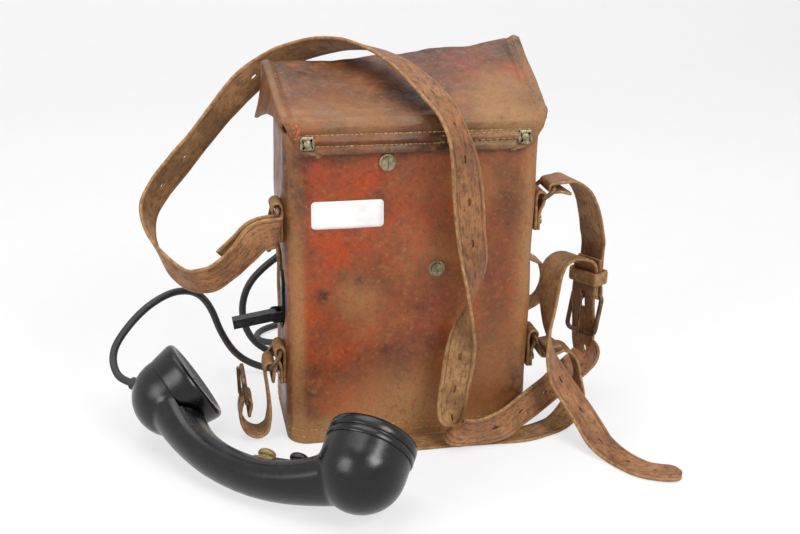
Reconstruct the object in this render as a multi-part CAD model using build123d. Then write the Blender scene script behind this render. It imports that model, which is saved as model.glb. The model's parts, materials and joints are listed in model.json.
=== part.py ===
from build123d import *
import os
from math import atan, cos, pi, radians, sin, sqrt, tan

os.makedirs("parts", exist_ok=True)

# Field telephone in a leather carrying case, with its handset lying beside it.
# Millimetres, +Z up, origin at the middle of the case bottom, on the floor.
# -Y is the front of the case, -X the side with the generator crank.

# ---------------------------------------------------------------- driving dimensions
CASE_W = 190.0            # leather case, left to right
CASE_D = 96.0             # leather case, front to back
CASE_H = 243.0            # top edge of the case wall
LEATHER = 3.5             # case leather
CORNER_R = 16.0           # upright corners of the case
EDGE_R = 2.5              # rounded bottom edge of the wall
FLANGE_H = 16.0           # height of the sewn bottom flange
FIT = 0.3                 # clearance between pieces that lie against each other
SIDE_HOLE_R = 36.5        # round opening for the crank in the left side
CRANK_Z = 117.0           # height of the crank shaft

LID_T = 3.2               # lid leather
LID_GAP = 0.7             # play between the lid and the case
LIP_BOTTOM_Z = 229.0      # lower edge of the front lip
FRONT_FOLD_Z = 253.0      # height of the fold above the front lip
HINGE_Z = 238.0           # bottom edge of the lid's back panel
RIDGE_Z = (280.0, 280.0, 284.5, 289.5, 295.0)   # back ridge, left to right
LID_HALF_FRONT = 97.0     # half width of the lid at the front
LID_HALF_BACK = 101.5     # half width of the lid at the back ridge
LIP_HALF_LOW = 84.0       # half width of the front lip at its lower edge

STRAP_W = 24.0            # width of the straps
STRAP_T = 2.6             # thickness of the straps
WIRE_R = 1.75             # wire of rings and buckles
TAB_Y = -27.0             # middle of the side tabs, front to back
UPPER_EYE_Z = 187.0       # ring eye of the upper tabs
LOWER_EYE_Z = 74.0        # ring eye of the lower tabs

SHEET = 1.5               # steel sheet of the chassis
SHELF_Z = 62.0            # underside of the generator shelf
PANEL_Z = 226.0           # underside of the top panel
PANEL_T = 3.5             # top panel

GEAR_TEETH = 48
PINION_TEETH = 12
GEAR_MODULE = 1.0
GEAR_W = 4.0              # face width of the gears
MESH_PLAY = 0.15          # extra centre distance of the gears
SHAFT_R = 4.0             # crank shaft
SPINDLE_R = 3.0           # armature spindle
RUN_FIT = 0.06            # radial clearance of turning pieces
CRANK_R = 27.0            # crank shaft to handle pin
HANDLE_L = 33.0           # handle pin to handle end
HANDLE_DROOP = 9.0        # degrees that the open handle hangs below level

CELL_R = 16.4             # dry cell
CELL_H = 61.0
GONG_R = 22.0
GONG_GAP = 8.0            # between the rims of the two gongs
POST_R = 5.0              # binding post

CORD_R = 3.0              # handset cord
CORD_HOLE = (-60.0, 200.0)   # x and z of the cord hole in the back wall

HANDSET_MID = (-118.0, -86.5, 36.6)    # between the two end bulbs
HANDSET_TURN = -48.2      # degrees, long axis seen from above
HANDSET_LEAN = 36.0       # degrees, caps above level
BULB_SPAN = 92.0          # middle of the handset to each bulb
BULB_R = 31.0             # bulbs and caps
CAP_T = 3.0               # wall of the caps and bulbs
EAR_TILT = 12.0           # receiver cap, leaning inwards
MOUTH_TILT = 27.0         # transmitter cap, leaning inwards
HANDLE_DROP = 31.0        # how far the handle's middle bows away from the caps
GRIP_W = 30.0             # grip, side to side
GRIP_H = 27.0             # grip, front to back


# ---------------------------------------------------------------- shapes used throughout
def keep(shape, name):
    export_step(shape, "parts/" + name + ".step")


def block(x, y, z):
    """Box between two values on each axis."""
    size = [b - a for a, b in (x, y, z)]
    middle = [(a + b) / 2 for a, b in (x, y, z)]
    return Pos(*middle) * Box(*size)


def rod(start, end, radius):
    """Round bar between two points."""
    start, end = Vector(*start), Vector(*end)
    plane = Plane(origin=start, z_dir=end - start)
    bar = Cylinder(radius, (end - start).length, align=(Align.CENTER, Align.CENTER, Align.MIN))
    return plane.location * bar


def pipe(start, end, outer, inner):
    """Round bar with a bore right through."""
    return rod(start, end, outer) - rod(start, end, inner)


def bent_wire(points, radius):
    """Wire through the points, with round corners."""
    shape = rod(points[0], points[1], radius)
    for start, end in zip(points[1:], points[2:]):
        shape += rod(start, end, radius)
    for point in points[1:-1]:
        shape += Pos(*point) * Sphere(radius)
    return shape


def closed_wire(points, radius):
    """Closed frame of wire through the points."""
    shape = bent_wire(list(points) + [points[0]], radius)
    return shape + Pos(*points[0]) * Sphere(radius)


def upright_prism(width, depth, radius, z):
    """Upright body with rounded corners between two heights."""
    return Pos(0, 0, z[0]) * extrude(RectangleRounded(width, depth, radius), amount=z[1] - z[0])


def smooth(values, runs, index, part):
    """Value between entries index and index + 1 of a smooth curve; runs are the spacings."""
    def slope(entry):
        if entry == 0:
            return (values[1] - values[0]) / runs[0]
        if entry == len(runs):
            return (values[-1] - values[-2]) / runs[-1]
        before = (values[entry] - values[entry - 1]) / runs[entry - 1]
        after = (values[entry + 1] - values[entry]) / runs[entry]
        share = runs[entry - 1] / (runs[entry - 1] + runs[entry])
        return before * (1 - share) + after * share
    run = runs[index]
    return (values[index] * (1 - part ** 2 * (3 - 2 * part)) + values[index + 1] * part ** 2 * (3 - 2 * part)
            + slope(index) * (run * part * (1 - part) ** 2) - slope(index + 1) * (run * part ** 2 * (1 - part)))


def strap_sections(stations, width, steps):
    """Middle points, across directions and face directions along a flat strap."""
    points = [Vector(*point) for point, across in stations]
    acrosses = [Vector(*across).normalized() for point, across in stations]
    runs = [(after - before).length for before, after in zip(points, points[1:])]
    middles, wides = [], []
    for index in range(len(runs)):
        for step in range(steps):
            middles.append(smooth(points, runs, index, step / steps))
            wides.append(smooth(acrosses, runs, index, step / steps))
    middles.append(points[-1])
    wides.append(acrosses[-1])
    sections = []
    for index, (middle, wide) in enumerate(zip(middles, wides)):
        along = middles[min(index + 1, len(middles) - 1)] - middles[max(index - 1, 0)]
        along = along.normalized()
        wide = (wide - along * wide.dot(along)).normalized()
        sections.append((middle, wide, wide.cross(along)))
    return sections


def strap(stations, width=STRAP_W, thickness=STRAP_T, steps=3):
    """Flat strap that bends and twists through (point, across) stations."""
    rings = []
    for middle, wide, face in strap_sections(stations, width, steps):
        side, lift = wide * (width / 2), face * (thickness / 2)
        rings.append([middle + side + lift, middle - side + lift,
                      middle - side - lift, middle + side - lift])
    patches = [rings[0], rings[-1]]
    for near, far in zip(rings, rings[1:]):
        for a in range(4):
            b = (a + 1) % 4
            patches += [[near[a], near[b], far[b]], [near[a], far[b], far[a]]]
    return Solid(Shell([Face(Wire.make_polygon(patch, close=True)) for patch in patches]))


# ---------------------------------------------------------------- leather case
half_w, half_d = CASE_W / 2, CASE_D / 2
inner_w, inner_d = CASE_W - 2 * LEATHER, CASE_D - 2 * LEATHER
FLANGE_T = 3.0
FRONT_SCREWS = ((-21.0, 221.5), (17.0, 139.0))   # x and z of the two chassis screws
SCREW_R = 2.2
SNAP_X = 79.0             # snap fasteners, left and right of the middle
SNAP_Z = 238.0
GROMMET_R = 6.5


def case_wall():
    """Upright leather tube with the crank opening, cord hole and screw holes."""
    outer = upright_prism(CASE_W, CASE_D, CORNER_R, (0, CASE_H))
    outer = fillet(outer.faces().sort_by(Axis.Z)[0].edges(), EDGE_R)
    wall = outer - upright_prism(inner_w, inner_d, CORNER_R - LEATHER, (-1, CASE_H + 1))
    wall -= rod((-half_w - 5, 0, CRANK_Z), (-half_w + LEATHER + 5, 0, CRANK_Z), SIDE_HOLE_R)
    cord_x, cord_z = CORD_HOLE
    wall -= rod((cord_x, half_d - LEATHER - 2, cord_z), (cord_x, half_d + 2, cord_z), GROMMET_R)
    for x, z in FRONT_SCREWS:
        wall -= rod((x, -half_d - 2, z), (x, -half_d + LEATHER + 2, z), SCREW_R + 0.1)
    return wall


def case_bottom():
    """Bottom with an upturned flange that is sewn inside the wall."""
    tray = upright_prism(inner_w, inner_d, CORNER_R - LEATHER, (0, FLANGE_H))
    hollow = upright_prism(inner_w - 2 * FLANGE_T, inner_d - 2 * FLANGE_T,
                           CORNER_R - LEATHER - FLANGE_T, (LEATHER, FLANGE_H + 1))
    return tray - hollow


def slotted_screw(x, z, length):
    """Brass screw with a washer, in from the front."""
    washer = pipe((x, -half_d - 0.9, z), (x, -half_d, z), 6.2, SCREW_R + 0.1)
    head = rod((x, -half_d - 3.0, z), (x, -half_d - 0.9, z), 4.4)
    head -= block((x - 0.5, x + 0.5), (-half_d - 3.1, -half_d - 2.0), (z - 5, z + 5))
    shank = rod((x, -half_d - 0.9, z), (x, -half_d - 0.9 + length, z), SCREW_R)
    return washer + head + shank


keep(case_wall(), "case_wall")
keep(case_bottom(), "case_bottom")
keep(Compound([rod((x, -half_d - 0.5, SNAP_Z), (x, -half_d, SNAP_Z), 4.5)
               for x in (-SNAP_X, SNAP_X)]), "case_snap_studs")
keep(block((-88, 88), (half_d, half_d + 3.2), (HINGE_Z - 16, HINGE_Z)), "lid_hinge_strip")

# ---------------------------------------------------------------- lid
lid_front = -half_d - LID_GAP - LID_T    # outer face of the front lip
lid_back = half_d + LID_GAP + LID_T      # outer face of the back panel
LID_BEND_R = 7.0


def lid_profile(x, ridge_z):
    """Lip, top and back panel as one bent leather strip, seen along X."""
    slope = (ridge_z - FRONT_FOLD_Z) / (lid_back - lid_front)
    drop = LID_T * sqrt(1 + slope ** 2)
    inner_front, inner_back = lid_front + LID_T, lid_back - LID_T
    outer = [(lid_front, LIP_BOTTOM_Z), (lid_front, FRONT_FOLD_Z),
             (lid_back, ridge_z), (lid_back, HINGE_Z + FIT)]
    inner = [(inner_back, HINGE_Z + FIT), (inner_back, ridge_z - drop - slope * LID_T),
             (inner_front, FRONT_FOLD_Z - drop + slope * LID_T), (inner_front, LIP_BOTTOM_Z)]
    plane = Plane(origin=(x, 0, 0), x_dir=(0, 1, 0), z_dir=(1, 0, 0))
    wires = [FilletPolyline(*outer, radius=LID_BEND_R), Line(outer[-1], inner[0]),
             FilletPolyline(*inner, radius=LID_BEND_R - LID_T), Line(inner[-1], outer[0])]
    return plane.location * make_face(wires)


def lid_ear(side):
    """Side flap under the lid's edge, wider and flared towards the back."""
    front = [(side * (LID_HALF_FRONT - 3.2), -half_d + 2, FRONT_FOLD_Z - 6),
             (side * LID_HALF_FRONT, -half_d + 2, FRONT_FOLD_Z - 6),
             (side * LID_HALF_FRONT, -half_d + 2, FRONT_FOLD_Z - 1),
             (side * (LID_HALF_FRONT - 3.2), -half_d + 2, FRONT_FOLD_Z - 1)]
    top = (RIDGE_Z[0] if side < 0 else RIDGE_Z[-1]) - 4
    back = [(side * (LID_HALF_BACK + 3.2), half_d, HINGE_Z - 1),
            (side * (LID_HALF_BACK + 6.4), half_d, HINGE_Z - 1),
            (side * (LID_HALF_BACK - 0.5), half_d, top),
            (side * (LID_HALF_BACK - 3.7), half_d, top)]
    faces = [Face(Wire.make_polygon([Vector(*p) for p in corners], close=True))
             for corners in (front, back)]
    return loft(faces, ruled=True)


def lid_cover():
    """The lid: lip, sloping top and back panel, trimmed to its flared outline."""
    places = [LID_HALF_BACK * share for share in (-1.0, -0.5, 0.0, 0.5, 1.0)]
    shell = loft([lid_profile(x, z) for x, z in zip(places, RIDGE_Z)], ruled=True)
    outline = make_face(Polyline((-LID_HALF_FRONT, lid_front - 1), (LID_HALF_FRONT, lid_front - 1),
                                 (LID_HALF_BACK, lid_back + 1), (-LID_HALF_BACK, lid_back + 1),
                                 close=True))
    shell = shell & (Pos(0, 0, LIP_BOTTOM_Z - 10) * extrude(outline, amount=100))
    for side in (-1, 1):
        corner = Polyline((side * (LID_HALF_FRONT + 1), FRONT_FOLD_Z - 2), (side * LIP_HALF_LOW, LIP_BOTTOM_Z - 1),
                          (side * (LID_HALF_FRONT + 1), LIP_BOTTOM_Z - 1), close=True)
        plane = Plane(origin=(0, lid_front - 1, 0), x_dir=(1, 0, 0), z_dir=(0, -1, 0))
        shell -= plane.location * extrude(make_face(corner), amount=-LID_T - 2)
    return shell + lid_ear(-1) + lid_ear(1)


def snap_socket(x):
    """Square brass plate of a snap fastener, with its round button."""
    plate = block((x - 4.6, x + 4.6), (lid_front - 0.8, lid_front), (SNAP_Z - 4.6, SNAP_Z + 4.6))
    button = rod((x, lid_front - 1.8, SNAP_Z), (x, lid_front - 0.8, SNAP_Z), 2.4)
    return plate + button


keep(lid_cover(), "lid_cover")
keep(Compound([snap_socket(x) for x in (-SNAP_X, SNAP_X)]), "lid_snap_sockets")

# ---------------------------------------------------------------- side tabs and rings
TAB_W = 19.4
TAB_T = 2.4
EYE_R = WIRE_R + 0.4      # bore of the leather eye
RIVET_R = 3.2


def tab(side, eye_z, leg=26.0):
    """Folded leather tab: an eye on top for the ring, both legs riveted to the side."""
    outer_r = EYE_R + TAB_T
    eye_x = half_w + outer_r
    profile = make_face(Polyline((half_w, eye_z), (half_w, eye_z - leg), (half_w + 2 * TAB_T, eye_z - leg),
                                 (half_w + 2 * TAB_T, eye_z - 12), (eye_x + outer_r, eye_z), close=True))
    profile += Pos(eye_x, eye_z) * Circle(outer_r)
    profile -= Pos(eye_x, eye_z) * Circle(EYE_R)
    plane = Plane(origin=(0, TAB_Y + TAB_W / 2, 0), x_dir=(1, 0, 0), z_dir=(0, -1, 0))
    shape = plane.location * extrude(profile, amount=TAB_W)
    if side < 0:
        shape = shape.mirror(Plane.YZ)
    return shape


def tab_rivets(side, eye_z):
    """Two domed rivets through both legs of a tab."""
    x = half_w + 2 * TAB_T
    return [rod((side * x, TAB_Y + dy, eye_z - 19), (side * (x + 1.3), TAB_Y + dy, eye_z - 19), RIVET_R)
            for dy in (-5.6, 5.6)]


def ring_frame(side, eye_z, swing, drop=29.0, inner=27.0):
    """Rectangular wire ring; swing is its angle from hanging straight down."""
    reach = inner / 2 + WIRE_R
    x = side * (half_w + EYE_R + TAB_T)
    low_x = x + side * drop * sin(radians(swing))
    low_z = eye_z - drop * cos(radians(swing))
    return closed_wire([(x, TAB_Y - reach, eye_z), (x, TAB_Y + reach, eye_z),
                        (low_x, TAB_Y + reach, low_z), (low_x, TAB_Y - reach, low_z)], WIRE_R)


TAB_PLACES = {"upper_left": (-1, UPPER_EYE_Z, 13.0), "upper_right": (1, UPPER_EYE_Z, 128.0),
              "lower_left": (-1, LOWER_EYE_Z, 35.0), "lower_right": (1, LOWER_EYE_Z, 32.0)}
RING_DROP = {"upper_left": 31.0, "upper_right": 11.0, "lower_left": 14.0, "lower_right": 18.0}
keep(Compound([tab(side, eye_z) for side, eye_z, swing in TAB_PLACES.values()]), "side_tabs")
keep(Compound([rivet for side, eye_z, swing in TAB_PLACES.values()
               for rivet in tab_rivets(side, eye_z)]), "tab_rivets")
for name, (side, eye_z, swing) in TAB_PLACES.items():
    keep(ring_frame(side, eye_z, swing, RING_DROP[name]), name + "_ring")

# ---------------------------------------------------------------- carrying strap
# (point, direction across the strap) from the left ring over the lid, down the front,
# along the floor, up through the buckle at the right and down again to its free end.
ring_bar = (-103.2, TAB_Y - 15.25, 171.2)
eye_turn = WIRE_R + 2 * FIT + STRAP_T / 2
carrying_route = [
    ((-136.0, -36.6, 148.5), (-0.1, -0.1, 1.0)),
    ((-124.0, -37.2, 160.0), (-0.1, -0.1, 1.0)),
    ((-113.0, -37.9, 169.5), (0.0, 0.0, 1.0)),
    ((ring_bar[0], ring_bar[1] + eye_turn, ring_bar[2]), (0.22, 0.0, 0.97)),
    ((ring_bar[0] + eye_turn * 0.71, ring_bar[1] + eye_turn * 0.71, ring_bar[2]), (0.22, 0.0, 0.97)),
    ((ring_bar[0] + eye_turn, ring_bar[1], ring_bar[2]), (0.22, 0.0, 0.97)),
    ((ring_bar[0] + eye_turn * 0.71, ring_bar[1] - eye_turn * 0.71, ring_bar[2]), (0.22, 0.0, 0.97)),
    ((ring_bar[0], ring_bar[1] - eye_turn, ring_bar[2]), (0.22, 0.0, 0.97)),
    ((-113.0, -46.0, 169.6), (0.0, -0.1, 1.0)),
    ((-124.0, -44.6, 158.0), (-0.1, -0.3, 0.9)),
    ((-136.0, -42.8, 146.0), (-0.1, -0.4, 0.9)),
    ((-149.0, -40.0, 137.0), (0.0, -0.4, 0.9)),
    ((-162.0, -32.0, 133.0), (0.1, -0.6, 0.8)),
    ((-175.0, -20.0, 138.0), (0.2, -0.8, 0.6)),
    ((-185.0, -5.0, 148.0), (0.0, -0.9, 0.4)),
    ((-191.0, 8.0, 160.0), (-0.3, -0.85, 0.5)),
    ((-191.0, 19.0, 173.0), (-0.5, -0.6, 0.6)),
    ((-183.0, 27.0, 186.0), (-0.5, -0.45, 0.75)),
    ((-168.0, 36.0, 202.0), (-0.5, -0.4, 0.75)),
    ((-150.0, 44.0, 221.0), (-0.5, -0.5, 0.7)),
    ((-130.0, 52.0, 243.0), (-0.6, -0.4, 0.65)),
    ((-113.0, 60.0, 259.0), (-0.5, -0.15, 0.85)),
    ((-95.0, 66.0, 271.0), (-0.3, -0.3, 0.9)),
    ((-75.0, 66.0, 281.0), (-0.25, -0.55, 0.8)),
    ((-53.0, 58.0, 288.0), (-0.25, -0.7, 0.65)),
    ((-37.0, 46.0, 291.0), (-0.2, -0.9, 0.45)),
    ((-21.0, 27.0, 290.5), (-0.25, -0.95, 0.15)),
    ((-7.0, 8.0, 285.5), (-0.4, -0.9, 0.0)),
    ((5.0, -16.0, 277.0), (-0.5, -0.85, -0.1)),
    ((13.0, -38.0, 268.5), (-0.6, -0.8, -0.15)),
    ((20.0, -58.0, 258.0), (-0.65, -0.75, -0.1)),
    ((25.0, -69.0, 245.0), (-0.75, -0.6, 0.0)),
    ((29.0, -73.0, 228.0), (-0.9, -0.4, 0.1)),
    ((33.0, -72.0, 201.0), (-1.0, -0.15, 0.0)),
    ((37.0, -70.0, 169.0), (-1.0, -0.25, 0.1)),
    ((40.0, -70.0, 147.0), (-0.85, -0.4, 0.3)),
    ((39.5, -71.0, 127.0), (-0.5, -0.8, 0.3)),
    ((36.0, -71.0, 106.0), (0.15, -0.95, 0.1)),
    ((33.0, -69.0, 84.0), (0.75, -0.6, -0.1)),
    ((30.5, -68.0, 62.0), (0.95, -0.2, -0.3)),
    ((27.5, -69.0, 42.0), (0.9, 0.0, -0.45)),
    ((26.0, -72.0, 25.5), (0.7, 0.1, -0.7)),
    ((29.0, -76.5, 17.0), (0.0, -0.25, -1.0)),
    ((38.0, -77.5, 15.2), (0.0, 0.1, -1.0)),
    ((50.0, -77.0, 15.4), (0.0, 0.1, -1.0)),
    ((66.0, -74.0, 18.0), (0.0, -0.2, -0.97)),
    ((83.0, -62.0, 21.5), (0.0, -0.3, -0.95)),
    ((99.0, -48.0, 23.0), (0.1, -0.3, -0.95)),
    ((114.0, -34.0, 24.0), (0.15, -0.3, -0.95)),
    ((128.0, -20.0, 25.5), (0.2, -0.35, -0.9)),
    ((142.0, -6.0, 26.5), (0.25, -0.4, -0.87)),
    ((156.0, 7.0, 28.0), (0.45, -0.55, -0.7)),
    ((165.0, 17.0, 31.5), (0.55, -0.75, -0.4)),
]
LAP_W = Vector(-0.52, 0.854, 0)          # along the buckle's bars, away from the viewer
LAP_OUT = Vector(-0.854, -0.52, 0)       # out of the lap, towards the case
BUCKLE_AT = Vector(166.0, 24.0, 84.0)    # middle of the buckle's hinge bar


def lap_point(across, down, out):
    """Place near the buckle: along its bars, down from its hinge bar, outwards."""
    point = BUCKLE_AT + LAP_W * across - Vector(0, 0, down) + LAP_OUT * out
    return (point.X, point.Y, point.Z)


lap_across = (-LAP_W.X, -LAP_W.Y, 0.0)
BUCKLE_L = 34.0           # hinge bar to end bar
BUCKLE_TIP = 7.6          # how far the end bar stands out
carrying_route += [(lap_point(0, down, out), lap_across) for down, out in
                   ((43, 2.6), (38, 3.0), (32, 3.4), (20, 4.6), (10, 5.8), (0, 6.6), (-10, 6.0), (-20, 5.2))]
carrying_route += [
    ((158.0, 18.6, 113.0), (0.6, -0.8, 0.0)),
    ((149.5, 13.5, 119.5), (0.5, -0.85, 0.0)),
    ((138.5, 8.0, 122.0), (0.45, -0.9, 0.0)),
    ((129.0, 2.5, 119.5), (0.4, -0.9, 0.0)),
    ((122.5, -6.0, 112.5), (0.3, -0.95, 0.0)),
    ((117.5, -18.0, 103.0), (0.15, -1.0, 0.0)),
    ((113.0, -32.0, 91.0), (0.0, -1.0, 0.0)),
    ((109.6, -45.0, 77.0), (-0.25, -0.95, 0.1)),
    ((109.6, -54.0, 61.0), (-0.55, -0.8, 0.1)),
    ((115.2, -60.0, 45.1), (-0.85, -0.5, 0.1)),
    ((122.6, -66.0, 33.5), (-0.9, -0.4, 0.1)),
    ((128.5, -73.0, 24.5), (-0.93, -0.35, 0.05)),
    ((133.6, -83.0, 15.5), (-0.95, -0.35, 0.0)),
    ((138.0, -95.0, 7.6), (-0.95, -0.33, 0.0)),
    ((146.0, -108.0, 2.2), (-0.92, -0.4, 0.0)),
    ((152.0, -121.0, 1.9), (-0.85, -0.5, 0.0)),
    ((160.0, -132.0, 1.9), (-0.65, -0.75, 0.0)),
    ((171.0, -138.0, 1.9), (-0.3, -0.95, 0.0)),
    ((185.0, -140.5, 1.9), (-0.15, -0.98, 0.0)),
]


def lap_slot(down, across, out):
    """Slot through a strap at the buckle, given as ranges in its own directions."""
    middle = lap_point(0, sum(down) / 2, sum(out) / 2)
    plane = Plane(origin=middle, x_dir=LAP_W, z_dir=LAP_OUT)
    return plane.location * Box(2 * across, down[1] - down[0], out[1] - out[0])


PRONG_R = 1.4
PRONG_SLOT = PRONG_R + 1.0
carrying = strap(carrying_route) - lap_slot((-3.5, 12.0), PRONG_SLOT, (4.8, 9.5))
keep(carrying, "carrying_strap")

# ---------------------------------------------------------------- buckle strap, keeper, buckle
upper_swing = radians(TAB_PLACES["upper_right"][2])
upper_ring_x = half_w + EYE_R + TAB_T + RING_DROP["upper_right"] * sin(upper_swing)
upper_ring_z = UPPER_EYE_Z - RING_DROP["upper_right"] * cos(upper_swing)
BUCKLE_STRAP_T = 2.4
turn = WIRE_R + FIT + BUCKLE_STRAP_T / 2
along_bar = (0.0, -1.0, 0.0)
buckle_route = [
    ((upper_ring_x + 13, TAB_Y + 1, upper_ring_z - 5.0), along_bar),
    ((upper_ring_x + 5, TAB_Y, upper_ring_z - turn + 0.2), along_bar),
    ((upper_ring_x, TAB_Y, upper_ring_z - turn), along_bar),
    ((upper_ring_x - turn * 0.71, TAB_Y, upper_ring_z - turn * 0.71), along_bar),
    ((upper_ring_x - turn, TAB_Y, upper_ring_z), along_bar),
    ((upper_ring_x - turn * 0.71, TAB_Y, upper_ring_z + turn * 0.71), along_bar),
    ((upper_ring_x, TAB_Y, upper_ring_z + turn), along_bar),
    ((upper_ring_x + 8, TAB_Y + 1, upper_ring_z + turn + 0.6), along_bar),
    ((124.0, TAB_Y + 5, 197.0), (0.15, -1.0, 0.0)),
    ((135.5, -17.0, 189.0), (0.3, -0.95, 0.05)),
    ((146.0, -8.0, 175.0), (0.4, -0.9, 0.0)),
    ((154.5, 3.0, 158.0), (0.48, -0.88, 0.0)),
    ((161.5, 14.0, 141.0), (0.52, -0.854, 0.0)),
]
buckle_route += [(lap_point(0, down, out), lap_across) for down, out in
                 ((-40, -1.6), (-30, -1.4), (-18, -1.4), (-7, -2.5), (0, -turn), (turn * 0.71, -turn * 0.71),
                  (turn, 0), (turn * 0.71, turn * 0.71), (0, turn), (-7, 3.0), (-18, 1.5), (-31, 1.4))]
buckle_strap = strap(buckle_route, thickness=BUCKLE_STRAP_T)
buckle_strap -= lap_slot((-5.0, 6.0), PRONG_SLOT, (-5.5, 5.5))
keep(buckle_strap, "buckle_strap")


KEEPER_AT = 15.5          # middle of the keeper above the hinge bar


def keeper():
    """Leather loop round the doubled strap and the free end passing under it."""
    plane = Plane(origin=lap_point(0, -KEEPER_AT, 2.0), x_dir=LAP_W, z_dir=(0, 0, 1))
    ring = RectangleRounded(STRAP_W + 6.0, 17.0, 2.5) - RectangleRounded(STRAP_W + 1.2, 12.6, 1.0)
    return plane.location * (Pos(0, 0, -5.5) * extrude(ring, amount=11.0))


keep(keeper(), "strap_keeper")
bar_half = STRAP_W / 2 + 1.0 + WIRE_R
keep(closed_wire([lap_point(-bar_half, 0, 0), lap_point(bar_half, 0, 0),
                  lap_point(bar_half, BUCKLE_L, BUCKLE_TIP), lap_point(-bar_half, BUCKLE_L, BUCKLE_TIP)],
                 WIRE_R), "strap_buckle_frame")


def prong(place, length, tip_out, rise):
    """Wire tongue: an eye round the hinge bar, a bend through the slots, tip on the end bar."""
    eye_r = WIRE_R + RUN_FIT
    eye = pipe(place(-PRONG_R, 0, 0), place(PRONG_R, 0, 0), eye_r + 1.5, eye_r)
    tongue = bent_wire([place(0, 1.0, eye_r + 1.2), place(0, rise[0], rise[1]),
                        place(0, length + 3.0, tip_out)], PRONG_R)
    return eye + tongue + Pos(*place(0, length + 3.0, tip_out)) * Sphere(PRONG_R)


strap_prong = prong(lap_point, BUCKLE_L, BUCKLE_TIP + WIRE_R + PRONG_R + 0.1, (4.5, 9.6))
keep(strap_prong, "strap_buckle_prong")

# ---------------------------------------------------------------- waist straps
WAIST_W = 22.0
WAIST_T = 2.4
loop_r = WIRE_R + FIT + WAIST_T / 2
eye_x = half_w + EYE_R + TAB_T
waist_swing = radians(TAB_PLACES["lower_right"][2])
waist_ring_x = eye_x + RING_DROP["lower_right"] * sin(waist_swing)
waist_ring_z = LOWER_EYE_Z - RING_DROP["lower_right"] * cos(waist_swing)
waist_route = [
    ((waist_ring_x + 12, TAB_Y + 1, waist_ring_z + 4.4), along_bar),
    ((waist_ring_x + 5, TAB_Y, waist_ring_z + 3.9), along_bar),
    ((waist_ring_x, TAB_Y, waist_ring_z + loop_r), along_bar),
    ((waist_ring_x - loop_r * 0.71, TAB_Y, waist_ring_z + loop_r * 0.71), along_bar),
    ((waist_ring_x - loop_r, TAB_Y, waist_ring_z), along_bar),
    ((waist_ring_x - loop_r * 0.71, TAB_Y, waist_ring_z - loop_r * 0.71), along_bar),
    ((waist_ring_x, TAB_Y, waist_ring_z - loop_r), along_bar),
    ((waist_ring_x + 7, TAB_Y, waist_ring_z - loop_r + 0.6), along_bar),
    ((124.0, -22.0, 56.5), (0.0, -1.0, 0.0)),
    ((133.0, -20.0, 54.0), (0.0, -1.0, 0.0)),
    ((139.6, -21.8, 45.0), (0.0, -1.0, 0.0)),
    ((142.4, -26.2, 31.0), (-0.1, -1.0, 0.0)),
    ((139.0, -32.0, 16.0), (0.3, -0.95, 0.0)),
    ((130.0, -41.0, 6.5), (0.6, -0.8, 0.0)),
    ((118.0, -50.0, 2.4), (0.5, -0.85, 0.0)),
    ((103.0, -57.0, 1.6), (0.3, -0.95, 0.0)),
    ((85.0, -62.5, 1.5), (0.0, -1.0, 0.0)),
    ((60.0, -62.0, 1.5), (0.0, -1.0, 0.0)),
    ((35.0, -61.5, 1.5), (0.0, -1.0, 0.0)),
    ((10.0, -61.5, 1.5), (0.0, -1.0, 0.0)),
    ((-14.0, -62.0, 1.5), (0.0, -1.0, 0.0)),
]
keep(strap(waist_route, WAIST_W, WAIST_T), "waist_strap")

hook_swing = radians(TAB_PLACES["lower_left"][2])
hook_x = -(eye_x + RING_DROP["lower_left"] * sin(hook_swing))
hook_z = LOWER_EYE_Z - RING_DROP["lower_left"] * cos(hook_swing)
BEND_R = 8.5              # upturn of the short strap near the floor
bar_x, bar_z = hook_x - 2 * BEND_R - 1.0, 34.0    # hinge bar of the waist buckle
WAIST_BUCKLE_L = 22.0
WAIST_TIP = 2.0


def down_bar(x, z):
    return ((x, TAB_Y, z), along_bar)


drop_route = [down_bar(hook_x + 2.4, hook_z - 13), down_bar(hook_x + loop_r, hook_z),
              down_bar(hook_x + loop_r * 0.71, hook_z + loop_r * 0.71), down_bar(hook_x, hook_z + loop_r),
              down_bar(hook_x - loop_r * 0.71, hook_z + loop_r * 0.71), down_bar(hook_x - loop_r, hook_z),
              down_bar(hook_x - 2.4, hook_z - 13), down_bar(hook_x - 1.0, hook_z - 26),
              down_bar(hook_x - 1.0, 7.0 + BEND_R), down_bar(hook_x - 1.0 - BEND_R * 0.3, 7.0),
              down_bar(hook_x - 1.0 - BEND_R, 4.0), down_bar(hook_x - 1.0 - BEND_R * 1.9, 7.0),
              down_bar(hook_x - 2.0 - BEND_R * 2.35, 7.0 + BEND_R), down_bar(bar_x - loop_r, bar_z),
              down_bar(bar_x - loop_r * 0.71, bar_z + loop_r * 0.71), down_bar(bar_x, bar_z + loop_r),
              down_bar(bar_x + loop_r * 0.71, bar_z + loop_r * 0.71), down_bar(bar_x + loop_r, bar_z),
              down_bar(bar_x + 1.6, bar_z - 12)]
waist_slot = block((bar_x - 6, bar_x + 6), (TAB_Y - PRONG_SLOT, TAB_Y + PRONG_SLOT), (bar_z - 5, bar_z + 6))
keep(strap(drop_route, WAIST_W, WAIST_T) - waist_slot, "waist_buckle_strap")


def waist_point(across, along, out):
    """Place near the waist buckle, from the middle of its hinge bar."""
    return (bar_x - out, TAB_Y + across, bar_z + along)


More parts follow.
